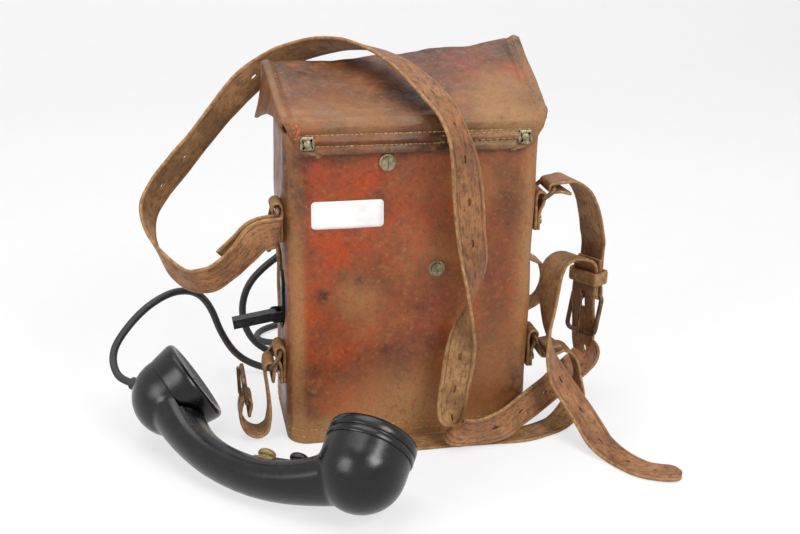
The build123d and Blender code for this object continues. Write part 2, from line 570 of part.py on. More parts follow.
waist_half = WAIST_W / 2 + 1.0 + WIRE_R
keep(closed_wire([waist_point(-waist_half, 0, 0), waist_point(waist_half, 0, 0),
                  waist_point(waist_half, WAIST_BUCKLE_L, WAIST_TIP),
                  waist_point(-waist_half, WAIST_BUCKLE_L, WAIST_TIP)], WIRE_R), "waist_buckle_frame")
keep(prong(waist_point, WAIST_BUCKLE_L, WAIST_TIP + WIRE_R + PRONG_R + 0.1, (5.0, 4.6)), "waist_buckle_prong")

LOOP_Y = 24.0
loop_x = half_w + FIT + STRAP_T / 2
loop_route = [((loop_x, LOOP_Y, 134), along_bar), ((loop_x + 0.8, LOOP_Y, 126), along_bar),
              ((loop_x + 12, LOOP_Y, 120), along_bar), ((loop_x + 25, LOOP_Y, 112), along_bar),
              ((loop_x + 30, LOOP_Y, 97), along_bar), ((loop_x + 25, LOOP_Y, 82), along_bar),
              ((loop_x + 12, LOOP_Y, 74), along_bar), ((loop_x + 0.8, LOOP_Y, 68), along_bar),
              ((loop_x, LOOP_Y, 60), along_bar)]
keep(strap(loop_route, 20.0), "side_belt_loop")

# ---------------------------------------------------------------- chassis
wall_x, wall_y = inner_w / 2, inner_d / 2     # inner faces of the case wall
BASE_Z = LEATHER + FIT                        # chassis base, on the leather bottom
SIDE_X = -wall_x + 1.2                        # outer face of the left chassis plate
PARTITION_X = -12.0
BACK_Y = wall_y - 3.4                         # outer face of the chassis back plate
flange_in_x, flange_in_y = wall_x - FLANGE_T, wall_y - FLANGE_T
FRONT_PLATE_X = 42.0
BUSH_R = 7.0


def chassis_frame():
    """Folded and welded sheet frame that carries everything inside the case."""
    top = PANEL_Z - FIT
    base = block((-flange_in_x + 1, flange_in_x - 1), (-flange_in_y + 1, BACK_Y), (BASE_Z, BASE_Z + SHEET))
    back = block((-flange_in_x + 1, flange_in_x - 1), (BACK_Y - SHEET, BACK_Y), (BASE_Z, top))
    left = block((SIDE_X, SIDE_X + SHEET), (-30, BACK_Y), (FLANGE_H + 2, top))
    foot = block((SIDE_X, -flange_in_x + 3), (-30, BACK_Y), (FLANGE_H + 2, FLANGE_H + 2 + SHEET))
    foot += block((-flange_in_x + 1.5, -flange_in_x + 3), (-30, BACK_Y), (BASE_Z, FLANGE_H + 2 + SHEET))
    divider = block((PARTITION_X, PARTITION_X + SHEET), (-30, BACK_Y), (BASE_Z, top))
    shelf = block((SIDE_X, PARTITION_X + SHEET), (-30, BACK_Y), (SHELF_Z, SHELF_Z + SHEET))
    cell_shelf = block((PARTITION_X, 84), (-38, BACK_Y), (SHELF_Z + 17, SHELF_Z + 17 + SHEET))
    front = block((-FRONT_PLATE_X, FRONT_PLATE_X), (-wall_y + FIT, -wall_y + FIT + SHEET), (126, top))
    lugs = block((PARTITION_X, PARTITION_X + SHEET), (-wall_y + FIT, -29), (126, top))
    frame = base + back + left + foot + divider + shelf + cell_shelf + front + lugs
    frame -= rod((SIDE_X - 1, 0, CRANK_Z), (SIDE_X + 3, 0, CRANK_Z), BUSH_R)
    cord_x, cord_z = CORD_HOLE
    frame -= rod((cord_x, BACK_Y - 3, cord_z), (cord_x, BACK_Y + 1, cord_z), GROMMET_R + 2)
    for x, z in FRONT_SCREWS:
        frame -= rod((x, -wall_y - 1, z), (x, -wall_y + 3, z), SCREW_R + 0.1)
    room = upright_prism(2 * flange_in_x - 2 * FIT, 2 * flange_in_y - 2 * FIT,
                         CORNER_R - LEATHER - FLANGE_T, (0, FLANGE_H + 1))
    room += upright_prism(inner_w - 2 * FIT, inner_d - 2 * FIT, CORNER_R - LEATHER, (FLANGE_H + 1, CASE_H))
    return frame & room


def top_panel():
    """Black moulded panel over the chassis, with clearance holes for the posts."""
    panel = upright_prism(inner_w - 4, inner_d - 4, CORNER_R - LEATHER - 1, (PANEL_Z, PANEL_Z + PANEL_T))
    for x, y in POSTS:
        panel -= Pos(x, y, PANEL_Z) * Cylinder(POST_R - 1.5, 3 * PANEL_T)
    for x, y in PANEL_SCREWS:
        panel -= Pos(x, y, PANEL_Z) * Cylinder(1.6, 3 * PANEL_T)
    return panel


POSTS = ((-66.0, -22.0), (-42.0, -22.0), (-18.0, -22.0))   # line, line and ground terminals
PANEL_SCREWS = ((-80.0, 35.0), (80.0, 35.0))
POST_H = 8.0
CAP_TRAVEL = 2.5
CAP_STEM_R = 2.5
CAP_STEM_L = 6.8          # length of the cap's stem below its head


def binding_post(x, y):
    """Brass terminal: stem through the panel, nut under it and a bored, slotted collar."""
    top = PANEL_Z + PANEL_T
    low = (Align.CENTER, Align.CENTER, Align.MIN)
    stem = Pos(x, y, PANEL_Z - 6) * Cylinder(POST_R - 1.6, PANEL_T + 6, align=low)
    nut = Pos(x, y, PANEL_Z - 3.5) * extrude(RegularPolygon(POST_R, 6), amount=3.5)
    collar = Pos(x, y, top) * Cylinder(POST_R, POST_H, align=low)
    collar -= Pos(x, y, top + 1.0) * Cylinder(CAP_STEM_R + RUN_FIT, POST_H, align=low)
    collar -= block((x - 1.2, x + 1.2), (y - 6, y + 6), (top + 4.5, top + POST_H + 1))
    return stem + nut + collar


def post_cap(x, y):
    """Sprung press cap over a terminal, its stem sliding in the collar."""
    seat = PANEL_Z + PANEL_T + POST_H + CAP_TRAVEL + FIT
    low = (Align.CENTER, Align.CENTER, Align.MIN)
    cap = fillet(Cylinder(POST_R + 0.8, 5.0, align=low).edges().sort_by(Axis.Z)[-1], 1.2)
    stem = Pos(0, 0, -CAP_STEM_L) * Cylinder(CAP_STEM_R, CAP_STEM_L + 1, align=low)
    return Pos(x, y, seat) * (cap + stem)


keep(chassis_frame(), "chassis_frame")
keep(top_panel(), "top_panel")
keep(Compound([binding_post(x, y) for x, y in POSTS]), "binding_posts")
for number, (x, y) in enumerate(POSTS, start=1):
    keep(post_cap(x, y), "post_cap_" + str(number))
panel_screws = [rod((x, y, PANEL_Z - 5), (x, y, PANEL_Z + PANEL_T), 1.5)
                + rod((x, y, PANEL_Z + PANEL_T), (x, y, PANEL_Z + PANEL_T + 1.8), 3.0)
                for x, y in PANEL_SCREWS]
keep(Compound([slotted_screw(x, z, 7.0) for x, z in FRONT_SCREWS] + panel_screws), "chassis_screws")

# ---------------------------------------------------------------- hand generator
GEAR_X = (-86.0, -82.0)
pitch_r = GEAR_TEETH * GEAR_MODULE / 2
spindle_z = CRANK_Z - pitch_r - PINION_TEETH * GEAR_MODULE / 2 - MESH_PLAY
MAGNET_X = (-58.0, -20.0)
PLATE_X = ((-63.0, -59.5), (-18.5, -15.0))
SEAT_Z = SHELF_Z + SHEET


def spur_gear(teeth, x, centre_z, turn_deg):
    """Straight spur gear on an axis along X; turn_deg puts a tooth at that angle from +Y."""
    radius = teeth * GEAR_MODULE / 2
    tip, root = radius + 0.7 * GEAR_MODULE, radius - 1.05 * GEAR_MODULE
    half_pitch = pi * GEAR_MODULE / 4 * 0.88
    points = []
    for tooth in range(teeth):
        middle = radians(turn_deg) + 2 * pi * tooth / teeth
        for r, half in ((root, half_pitch + 0.32), (tip, half_pitch - 0.30)):
            points.append((r, middle - half / r, r, middle + half / r))
    outline = []
    for base, top in zip(points[::2], points[1::2]):
        outline += [(base[0] * cos(base[1]), base[0] * sin(base[1])),
                    (top[0] * cos(top[1]), top[0] * sin(top[1])),
                    (top[2] * cos(top[3]), top[2] * sin(top[3])),
                    (base[2] * cos(base[3]), base[2] * sin(base[3]))]
    plane = Plane(origin=(x[0], 0, centre_z), x_dir=(0, 1, 0), z_dir=(1, 0, 0))
    return plane.location * extrude(make_face(Polyline(*outline, close=True)), amount=x[1] - x[0])


def magnet(x):
    """Horseshoe magnet standing over the armature housing."""
    width, leg, crown_z = 56.0, 11.0, 112.0
    plane = Plane(origin=(x, 0, 0), x_dir=(0, 1, 0), z_dir=(1, 0, 0))
    outline = make_face(Polyline((-width / 2, SEAT_Z), (width / 2, SEAT_Z), (width / 2, crown_z),
                                 (-width / 2, crown_z), close=True))
    outline += Pos(0, crown_z) * Circle(width / 2)
    inner_half = width / 2 - leg
    hollow = make_face(Polyline((-inner_half, SEAT_Z - 1), (inner_half, SEAT_Z - 1),
                                (inner_half, crown_z), (-inner_half, crown_z), close=True))
    hollow += Pos(0, crown_z) * Circle(inner_half)
    return plane.location * extrude(outline - hollow, amount=12.0)


def generator_housing():
    """Cast pole block between the magnet legs, bored for the armature."""
    side = 17.0 - FIT
    body = block(MAGNET_X, (-side, side), (SEAT_Z, spindle_z + 17))
    return body - rod((MAGNET_X[0] - 1, 0, spindle_z), (MAGNET_X[1] + 1, 0, spindle_z), 14.5)


def end_plates():
    """Two brass end plates; the left one is taller and also steadies the crank shaft."""
    plates = []
    for (low, high), top in zip(PLATE_X, (CRANK_Z + 9, spindle_z + 17)):
        plate = block((low, high), (-20, 20), (SEAT_Z, top))
        plate -= rod((low - 1, 0, spindle_z), (high + 1, 0, spindle_z), SPINDLE_R + RUN_FIT)
        if top > CRANK_Z:
            plate -= rod((low - 1, 0, CRANK_Z), (high + 1, 0, CRANK_Z), SHAFT_R + RUN_FIT)
        plates.append(plate)
    return Compound(plates)


def armature():
    """Shuttle armature: spindle, round iron shuttle with two winding grooves."""
    core_x = (MAGNET_X[0] + 1, MAGNET_X[1] - 1)
    core = rod((core_x[0], 0, spindle_z), (core_x[1], 0, spindle_z), 14.0)
    for side in (-1, 1):
        groove = (side * 6.0, side * 15.0)
        core -= block((core_x[0] + 5, core_x[1] - 5), (min(groove), max(groove)),
                      (spindle_z - 7, spindle_z + 7))
    winding = block((core_x[0] + 5, core_x[1] - 5), (-11, 11), (spindle_z - 6.8, spindle_z + 6.8))
    return core + winding + rod((GEAR_X[0] - 2, 0, spindle_z), (PLATE_X[1][1] + 1, 0, spindle_z), SPINDLE_R)


def crank_gear():
    """Large gear with a hub, keyed on the crank shaft."""
    gear = spur_gear(GEAR_TEETH, GEAR_X, CRANK_Z, 0.0)
    gear += rod((GEAR_X[1], 0, CRANK_Z), (GEAR_X[1] + 5, 0, CRANK_Z), 9.0)
    return gear - rod((GEAR_X[0] - 1, 0, CRANK_Z), (GEAR_X[1] + 6, 0, CRANK_Z), SHAFT_R)


ARM_X = (-wall_x - 3.0, -wall_x - 0.6)        # crank arm, inside the round opening
PIVOT_X = ARM_X[0] - 5.0
EAR_Y = (5.0, 7.0)                            # fork ears either side of the handle
pinion_phase = 90.0 if (GEAR_TEETH // 4) % 2 else 90.0 + 180.0 / PINION_TEETH
keep(crank_gear(), "crank_gear")
pinion = spur_gear(PINION_TEETH, GEAR_X, spindle_z, pinion_phase)
keep(pinion - rod((GEAR_X[0] - 1, 0, spindle_z), (GEAR_X[1] + 1, 0, spindle_z), SPINDLE_R), "pinion")
keep(armature(), "armature")
keep(Compound([magnet(x) for x in (-58.0, -45.0, -32.0)]), "generator_magnets")
keep(generator_housing(), "generator_housing")
keep(end_plates(), "generator_end_plates")
keep(rod((ARM_X[0], 0, CRANK_Z), (PLATE_X[0][1], 0, CRANK_Z), SHAFT_R), "crank_shaft")
bush = pipe((SIDE_X - 0.5, 0, CRANK_Z), (SIDE_X + 3.0, 0, CRANK_Z), BUSH_R, SHAFT_R + RUN_FIT)
bush += pipe((SIDE_X + SHEET, 0, CRANK_Z), (SIDE_X + 3.0, 0, CRANK_Z), BUSH_R + 2, SHAFT_R + RUN_FIT)
keep(bush, "shaft_bush")


def crank_arm():
    """Flat arm with a round boss on the shaft and a fork for the folding handle."""
    pivot_z = CRANK_Z - CRANK_R
    arm = rod((ARM_X[0], 0, CRANK_Z), (ARM_X[1], 0, CRANK_Z), 9.0)
    arm += block(ARM_X, (-7, 7), (pivot_z - 2, CRANK_Z))
    arm += rod((ARM_X[0], 0, pivot_z - 2), (ARM_X[1], 0, pivot_z - 2), 7.0)
    for side in (-1, 1):
        inner, outer = sorted((side * EAR_Y[0], side * EAR_Y[1]))
        ear = rod((PIVOT_X, inner, pivot_z), (PIVOT_X, outer, pivot_z), 4.2)
        ear += block((PIVOT_X, ARM_X[0]), (inner, outer), (pivot_z - 4.2, pivot_z + 4.2))
        arm += ear
    arm -= rod((PIVOT_X, -9, pivot_z), (PIVOT_X, 9, pivot_z), 1.5)
    return arm - rod((ARM_X[0] - 1, 0, CRANK_Z), (ARM_X[1] + 1, 0, CRANK_Z), SHAFT_R)


def crank_handle():
    """Flat folding handle: rounded at its pin, square at its free end."""
    pivot_z = CRANK_Z - CRANK_R
    outline = Circle(3.5) + Pos(HANDLE_L / 2, 0) * Rectangle(HANDLE_L, 7.0) - Circle(1.5 + RUN_FIT)
    plane = Plane(origin=(PIVOT_X, EAR_Y[0] - 0.3, pivot_z), x_dir=(-1, 0, 0), z_dir=(0, -1, 0))
    handle = plane.location * extrude(outline, amount=2 * (EAR_Y[0] - 0.3))
    return handle.rotate(Axis((PIVOT_X, 0, pivot_z), (0, 1, 0)), -HANDLE_DROOP)


keep(crank_arm(), "crank_arm")
keep(crank_handle(), "crank_handle")
keep(rod((PIVOT_X, -EAR_Y[1] - 0.8, CRANK_Z - CRANK_R), (PIVOT_X, EAR_Y[1] + 0.8, CRANK_Z - CRANK_R), 1.5),
     "handle_pin")

# ---------------------------------------------------------------- ringer
gong_x = (41.0 - GONG_R - GONG_GAP / 2, 41.0 + GONG_R + GONG_GAP / 2)
GONG_Z = 148.0
GONG_Y = -6.0             # rim plane, dome towards the front
ringer_x = sum(gong_x) / 2
COIL_R = 9.0
YOKE_Z = 207.0


def gong(x):
    """Spun bell: shallow dome with a rolled rim."""
    wall = 1.2
    profile = Spline((0, -12.0), (GONG_R * 0.6, -10.0), (GONG_R, 0))
    inner = Spline((GONG_R - wall * 1.3, 0), (GONG_R * 0.6 - wall * 0.4, -10.0 + wall), (0, -12.0 + wall))
    face = make_face([profile, Line((GONG_R, 0), (GONG_R - wall * 1.3, 0)), inner,
                      Line((0, -12.0 + wall), (0, -12.0))])
    bell = revolve(face, Axis.Y)
    return Pos(x, GONG_Y, GONG_Z) * bell - rod((x, GONG_Y - 20, GONG_Z), (x, GONG_Y + 5, GONG_Z), 2.1)


def gong_post(x):
    """Post from the back plate with the screw that holds a gong."""
    post = rod((x, GONG_Y - 10.2, GONG_Z), (x, BACK_Y - SHEET, GONG_Z), 3.6)
    screw = rod((x, GONG_Y - 13.0, GONG_Z), (x, GONG_Y - 10, GONG_Z), 2.0)
    return post + screw + rod((x, GONG_Y - 14.6, GONG_Z), (x, GONG_Y - 12.7, GONG_Z), 3.6)


def ringer_coil(x):
    """Wound bobbin with its two cheeks and iron core."""
    low, high = YOKE_Z - 27.0, YOKE_Z
    spool = rod((x, 8, low + 1.5), (x, 8, high - 1.5), COIL_R - 0.8)
    spool += rod((x, 8, low), (x, 8, low + 1.5), COIL_R) + rod((x, 8, high - 1.5), (x, 8, high), COIL_R)
    return spool + rod((x, 8, low - 1.5), (x, 8, low), 3.0)


def clapper():
    """Rocking armature with the clapper rod and ball."""
    bar = block((ringer_x - 15, ringer_x + 15), (4, 12), (174.2, 176.4))
    bar += rod((ringer_x, 1, 173.5), (ringer_x, 15, 173.5), 2.0)
    stem = bent_wire([(ringer_x, 6, 174), (ringer_x, -2, 166), (ringer_x, GONG_Y - 1.5, GONG_Z)], 0.8)
    return bar + stem + Pos(ringer_x, GONG_Y - 1.5, GONG_Z) * Sphere(2.6)


def ringer_yoke():
    """Iron yoke over the coils with a leg down to the clapper's pivot lugs."""
    yoke = block((ringer_x - 19, ringer_x + 19), (-1, BACK_Y - SHEET), (YOKE_Z, YOKE_Z + 3))
    for y in ((-1.5, 0.7), (15.3, 17.5)):
        lug = block((ringer_x - 3, ringer_x + 3), y, (170.5, YOKE_Z + 1))
        yoke += lug - rod((ringer_x, y[0] - 1, 173.5), (ringer_x, y[1] + 1, 173.5), 1.2)
    return yoke


pivot_pins = rod((ringer_x, -1.5, 173.5), (ringer_x, 1.0, 173.5), 1.2 - RUN_FIT)
pivot_pins += rod((ringer_x, 15.0, 173.5), (ringer_x, 17.5, 173.5), 1.2 - RUN_FIT)
keep(Compound([gong(x) for x in gong_x]), "ringer_gongs")
keep(Compound([ringer_coil(ringer_x + side * 10.0) for side in (-1, 1)]), "ringer_coils")
keep(Compound([ringer_yoke()] + [gong_post(x) for x in gong_x]), "ringer_frame")
keep(clapper() + pivot_pins, "ringer_clapper")

# ---------------------------------------------------------------- speech circuit and cells
induction = rod((-74, 14, 24), (-24, 14, 24), 11.0)
for x in (-76, -25):
    induction += block((x, x + 3), (1, 27), (BASE_Z + SHEET, BASE_Z + SHEET + 33))
keep(induction, "induction_coil")
condenser = block((-72, -28), (-27, -8), (BASE_Z + SHEET, BASE_Z + SHEET + 34))
keep(fillet(condenser.edges().filter_by(Axis.Z), 2.0), "capacitor")


def dry_cell(y):
    """Round dry cell standing on its zinc, brass cap on top."""
    low = BASE_Z + SHEET + 2.0
    cell = Pos(20.0, y, low) * Cylinder(CELL_R, CELL_H - 2.5, align=(Align.CENTER, Align.CENTER, Align.MIN))
    cap = Pos(20.0, y, low + CELL_H - 2.5) * Cylinder(5.0, 2.5, align=(Align.CENTER, Align.CENTER, Align.MIN))
    return cell + cap


keep(Compound([dry_cell(y) for y in (-17.5, 17.5)]), "dry_cells")
low_strip = block((8, 32), (-30, 30), (BASE_Z + SHEET + 0.4, BASE_Z + SHEET + 1.8))
high_z = BASE_Z + SHEET + 2.0 + CELL_H
springs = [block((14, 26), (y - 4, y + 4), (high_z + 0.2, SHELF_Z + 17)) for y in (-17.5, 17.5)]
keep(Compound([low_strip] + springs), "cell_contacts")
cord_x, cord_z = CORD_HOLE
block_y = BACK_Y - SHEET - 14
terminal = block((cord_x - 14, cord_x + 14), (block_y, block_y + 8), (cord_z - 10, cord_z + 10))
terminal += block((cord_x - 14, cord_x - 8), (block_y, BACK_Y - SHEET), (cord_z - 10, cord_z - 4))
terminal += block((cord_x + 8, cord_x + 14), (block_y, BACK_Y - SHEET), (cord_z - 10, cord_z - 4))
keep(terminal, "cord_terminal_block")
grommet = pipe((cord_x, half_d - LEATHER - 1.2, cord_z), (cord_x, half_d + 1.5, cord_z),
               GROMMET_R, CORD_R + 0.2)
grommet += pipe((cord_x, half_d, cord_z), (cord_x, half_d + 1.5, cord_z), GROMMET_R + 2.5, CORD_R + 0.2)
keep(grommet, "cord_grommet")

# ---------------------------------------------------------------- handset
turn_rad = radians(HANDSET_TURN)
lean_rad = radians(HANDSET_LEAN)
long_way = Vector(cos(turn_rad), sin(turn_rad), 0)
level_way = Vector(-sin(turn_rad), cos(turn_rad), 0)
cap_way = level_way * cos(lean_rad) + Vector(0, 0, 1) * sin(lean_rad)
handset_plane = Plane(origin=HANDSET_MID, x_dir=long_way, z_dir=cap_way)
EAR_CENTRE = (BULB_SPAN, 0.0, 0.0)
MOUTH_CENTRE = (-BULB_SPAN, 0.0, -2.0)
EAR_SEAM = 12.0           # seam of the receiver cap above the bulb's middle
MOUTH_SEAM = 3.0
EAR_CAP_H = 15.0
MOUTH_CAP_H = 24.0


def end_plane(centre, tilt):
    """Local frame of a cap: +Z out of the cap, tilted inwards along the handset."""
    tilt = radians(tilt)
    return Plane(origin=centre, x_dir=(cos(tilt), 0, -sin(tilt)), z_dir=(sin(tilt), 0, cos(tilt)))


ear_plane = end_plane(EAR_CENTRE, -EAR_TILT)
mouth_plane = end_plane(MOUTH_CENTRE, MOUTH_TILT)


def bulb(seam):
    """Rounded end of the handset up to the seam of its cap."""
    depth = BULB_R
    profile = make_face([Line((0, -depth), (0, seam)), Line((0, seam), (BULB_R, seam)),
                         Line((BULB_R, seam), (BULB_R, 0)),
                         CenterArc((0, 0), BULB_R, 270, 90)])
    return revolve(Plane.XZ.location * profile, Axis.Z)


def grip():
    """Handle that bows from bulb to bulb, oval in section."""
    faces = []
    for place in (-1.0, -0.66, -0.33, 0.0, 0.33, 0.66, 1.0):
        x = place * (BULB_SPAN - 4)
        z = -HANDLE_DROP * (1 - abs(place) ** 2.2) - 6
        slope = HANDLE_DROP * 2.2 * abs(place) ** 1.2 * (1 if place > 0 else -1) / (BULB_SPAN - 4)
        swell = 1 + 0.25 * abs(place) ** 3
        plane = Plane(origin=(x, 0, z), x_dir=(0, 1, 0), z_dir=(1, 0, slope))
        faces.append(plane.location * Ellipse(GRIP_W / 2 * swell, GRIP_H / 2 * swell))
    return loft(faces)


LEVER_X = 31.0            # middle of the talk lever along the handset
SLOT_L, SLOT_W, SLOT_DEEP = 50.0, 11.0, 9.0
lever_share = LEVER_X / (BULB_SPAN - 4)
lever_slope = HANDLE_DROP * 2.2 * lever_share ** 1.2 / (BULB_SPAN - 4)
lever_tilt = atan(lever_slope)
LEVER_Z = -HANDLE_DROP * (1 - lever_share ** 2.2) - 6 + GRIP_H / 2
lever_plane = Plane(origin=(LEVER_X, 0, LEVER_Z), x_dir=(cos(lever_tilt), 0, sin(lever_tilt)),
                    z_dir=(-sin(lever_tilt), 0, cos(lever_tilt)))
PIN_Z = -4.5              # lever pin below the surface of the grip
PIN_HALF = 8.5
PAD_FOOT = 4.4            # underside of the lever's pads, clear of the grip as they rock
CAPSULE_ROOM = 14.0       # depth of the hollow for a capsule below the seam


def end_room(seam):
    """Space that a capsule and its cap take at one end."""
    low = (Align.CENTER, Align.CENTER, Align.MIN)
    hollow = Pos(0, 0, seam - CAPSULE_ROOM) * Cylinder(BULB_R - 5, CAPSULE_ROOM + 1, align=low)
    return hollow + Pos(0, 0, seam) * Cylinder(BULB_R + 1.2, 40, align=low)


def handset_body():
    """Moulded handset: bowed grip, two bulbs, and the slot for the talk switch."""
    body = grip() + ear_plane.location * bulb(EAR_SEAM) + mouth_plane.location * bulb(MOUTH_SEAM)
    body -= ear_plane.location * end_room(EAR_SEAM)
    body -= mouth_plane.location * end_room(MOUTH_SEAM)
    slot = block((-SLOT_L / 2, SLOT_L / 2), (-SLOT_W / 2, SLOT_W / 2), (-SLOT_DEEP, 20))
    slot += rod((0, -PIN_HALF, PIN_Z), (0, PIN_HALF, PIN_Z), 1.5)
    body -= lever_plane.location * slot
    body -= rod(GLAND_FROM, GLAND_TO, GLAND_R + 0.1)
    return body


GLAND_R = 5.0
GLAND_IN, GLAND_OUT = 3.0, 8.0            # gland inside and outside the bulb's surface
gland_way = Vector(-0.984, -0.139, -0.107).normalized()
gland_start = Vector(*MOUTH_CENTRE) + gland_way * (BULB_R - GLAND_IN)
gland_end = Vector(*MOUTH_CENTRE) + gland_way * (BULB_R + GLAND_OUT)
GLAND_FROM = (gland_start.X, gland_start.Y, gland_start.Z)
GLAND_TO = (gland_end.X, gland_end.Y, gland_end.Z)


def cap_shell(height, dome):
    """Screwed cap: rounded rim, dished or raised face, hollow inside."""
    r = BULB_R + 0.8
    outer = [(0, height - dome), (r * 0.55, height - dome * 0.7), (r * 0.84, height), (r - 1.0, height - 1.6),
             (r, height - 4.0), (r, 0.0), (r - CAP_T - 2.0, 0.0), (r - CAP_T - 2.0, height - CAP_T - dome - 1),
             (0, height - CAP_T - dome - 1)]
    cap = revolve(Plane.XZ.location * make_face(Polyline(*outer, close=True)), Axis.Z)
    for ring_r, count in ((0.0, 1), (6.5, 6), (12.5, 10)):
        for hole in range(count):
            angle = 2 * pi * hole / count
            cap -= Pos(ring_r * cos(angle), ring_r * sin(angle), height / 2) * Cylinder(1.3, height * 2)
    return cap


def talk_lever():
    """Rocking lever with a raised pad at each end."""
    half = SLOT_W / 2 - 0.6
    lever = block((-22, 22), (-half, half), (0.5, PAD_FOOT))
    lever += rod((0, -half, PIN_Z), (0, half, PIN_Z), 3.2) + block((-3.2, 3.2), (-half, half), (PIN_Z, 1.0))
    for side in (-1, 1):
        pad = Pos(side * 13.5, 0, PAD_FOOT) * extrude(RectangleRounded(15, SLOT_W + 2, 4), amount=4.6)
        lever += fillet(pad.faces().sort_by(Axis.Z)[-1].edges(), 1.5)
    return lever - rod((0, -10, PIN_Z), (0, 10, PIN_Z), 1.5 + RUN_FIT)


def contact_leaves():
    """Pile of thin spring leaves under the lever, on an insulating block."""
    leaves = block((5, 22), (-3, 3), (-SLOT_DEEP, -SLOT_DEEP + 2.0))
    return leaves + block((8, 20), (-2, 2), (-SLOT_DEEP + 1.5, -1.4))


def in_handset(shape):
    return handset_plane.location * shape


SEAM_GAP = 0.3
keep(in_handset(handset_body()), "handset_body")
ear_seat = ear_plane.location * Pos(0, 0, EAR_SEAM + SEAM_GAP)
mouth_seat = mouth_plane.location * Pos(0, 0, MOUTH_SEAM + SEAM_GAP)
keep(in_handset(ear_seat * cap_shell(EAR_CAP_H, 3.0)), "receiver_cap")
keep(in_handset(mouth_seat * cap_shell(MOUTH_CAP_H, 2.0)), "transmitter_cap")
capsule = Cylinder(BULB_R - 5.4, 12.0, align=(Align.CENTER, Align.CENTER, Align.MIN))
keep(in_handset(ear_plane.location * Pos(0, 0, EAR_SEAM - 13.7) * capsule), "receiver_capsule")
keep(in_handset(mouth_plane.location * Pos(0, 0, MOUTH_SEAM - 13.7) * capsule), "transmitter_capsule")
keep(in_handset(lever_plane.location * talk_lever()), "talk_lever")
keep(in_handset(lever_plane.location * rod((0, -PIN_HALF, PIN_Z), (0, PIN_HALF, PIN_Z), 1.5)), "lever_pin")
keep(in_handset(lever_plane.location * contact_leaves()), "contact_leaves")
keep(in_handset(rod(GLAND_FROM, GLAND_TO, GLAND_R)), "handset_gland")

# ---------------------------------------------------------------- handset cord
gland_mouth = handset_plane.from_local_coords(gland_end)
gland_lead = handset_plane.from_local_coords(gland_end + gland_way * 10.2)
cord_points = [
    (cord_x, BACK_Y - SHEET - 4, cord_z), (cord_x, 56.0, cord_z), (-61.0, 68.0, 193.0),
    (-62.0, 76.0, 174.0), (-65.0, 80.0, 150.0), (-72.0, 81.0, 129.0), (-85.0, 80.0, 112.0),
    (-101.0, 79.0, 101.0), (-114.0, 79.0, 87.0), (-120.0, 80.0, 69.0), (-119.0, 84.0, 50.0),
    (-112.0, 91.0, 31.0), (-98.0, 99.0, 15.0), (-79.0, 107.0, 5.0), (-54.0, 113.0, 3.3),
    (-24.0, 118.0, 3.3), (8.0, 122.0, 3.3), (40.0, 130.0, 3.3), (62.0, 148.0, 3.3),
    (64.0, 174.0, 3.3), (44.0, 193.0, 3.3), (14.0, 201.0, 3.3), (-18.0, 201.0, 3.3),
    (-50.0, 197.0, 3.3), (-80.0, 187.0, 3.3), (-100.0, 173.0, 3.4), (-104.0, 153.0, 3.8),
    (-92.0, 137.0, 6.0), (-73.0, 130.0, 9.2), (-56.0, 126.2, 10.8), (-44.0, 118.5, 11.2),
    (-39.0, 105.0, 9.8), (-42.7, 91.5, 6.5), (-54.0, 82.5, 4.2), (-70.0, 80.5, 3.6),
    (-88.0, 83.5, 3.6), (-108.0, 90.0, 5.5), (-126.0, 96.5, 15.0), (-139.0, 99.0, 32.0),
    (-147.0, 95.0, 54.0), (-157.0, 84.0, 72.0), (-173.0, 70.0, 80.0), (-190.0, 57.0, 78.0),
    (-205.0, 45.5, 70.5), (-221.8, 32.0, 57.1), (-225.1, 26.7, 49.0), (-224.1, 19.4, 42.1),
    (gland_lead.X, gland_lead.Y, gland_lead.Z), (gland_mouth.X, gland_mouth.Y, gland_mouth.Z),
]


def corner_radii(points):
    """Radius at each corner: 0.45 of the shorter run over the tangent of half the turn."""
    vectors = [Vector(*point) for point in points]
    radii = []
    for before, here, after in zip(vectors, vectors[1:], vectors[2:]):
        turn_angle = (here - before).get_angle(after - here)
        run = min((here - before).length, (after - here).length)
        radii.append(0.45 * run / tan(radians(turn_angle) / 2))
    return radii


radii = corner_radii(cord_points)
print("cord corner radii", [round(radius, 1) for radius in radii])
cord_line = FilletPolyline(*cord_points, radius=radii)
cord_section = Plane(origin=cord_line @ 0, z_dir=cord_line % 0).location * Circle(CORD_R)
cord = sweep(cord_section, path=cord_line)
print("cord length", round(cord_line.length, 1), "volume share",
      round(cord.volume / (pi * CORD_R ** 2 * cord_line.length), 4))
keep(cord, "handset_cord")
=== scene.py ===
import json
from math import atan, cos, exp, hypot, pi, radians, sin, sqrt

import bmesh
import bpy
from mathutils import Matrix, Vector, noise


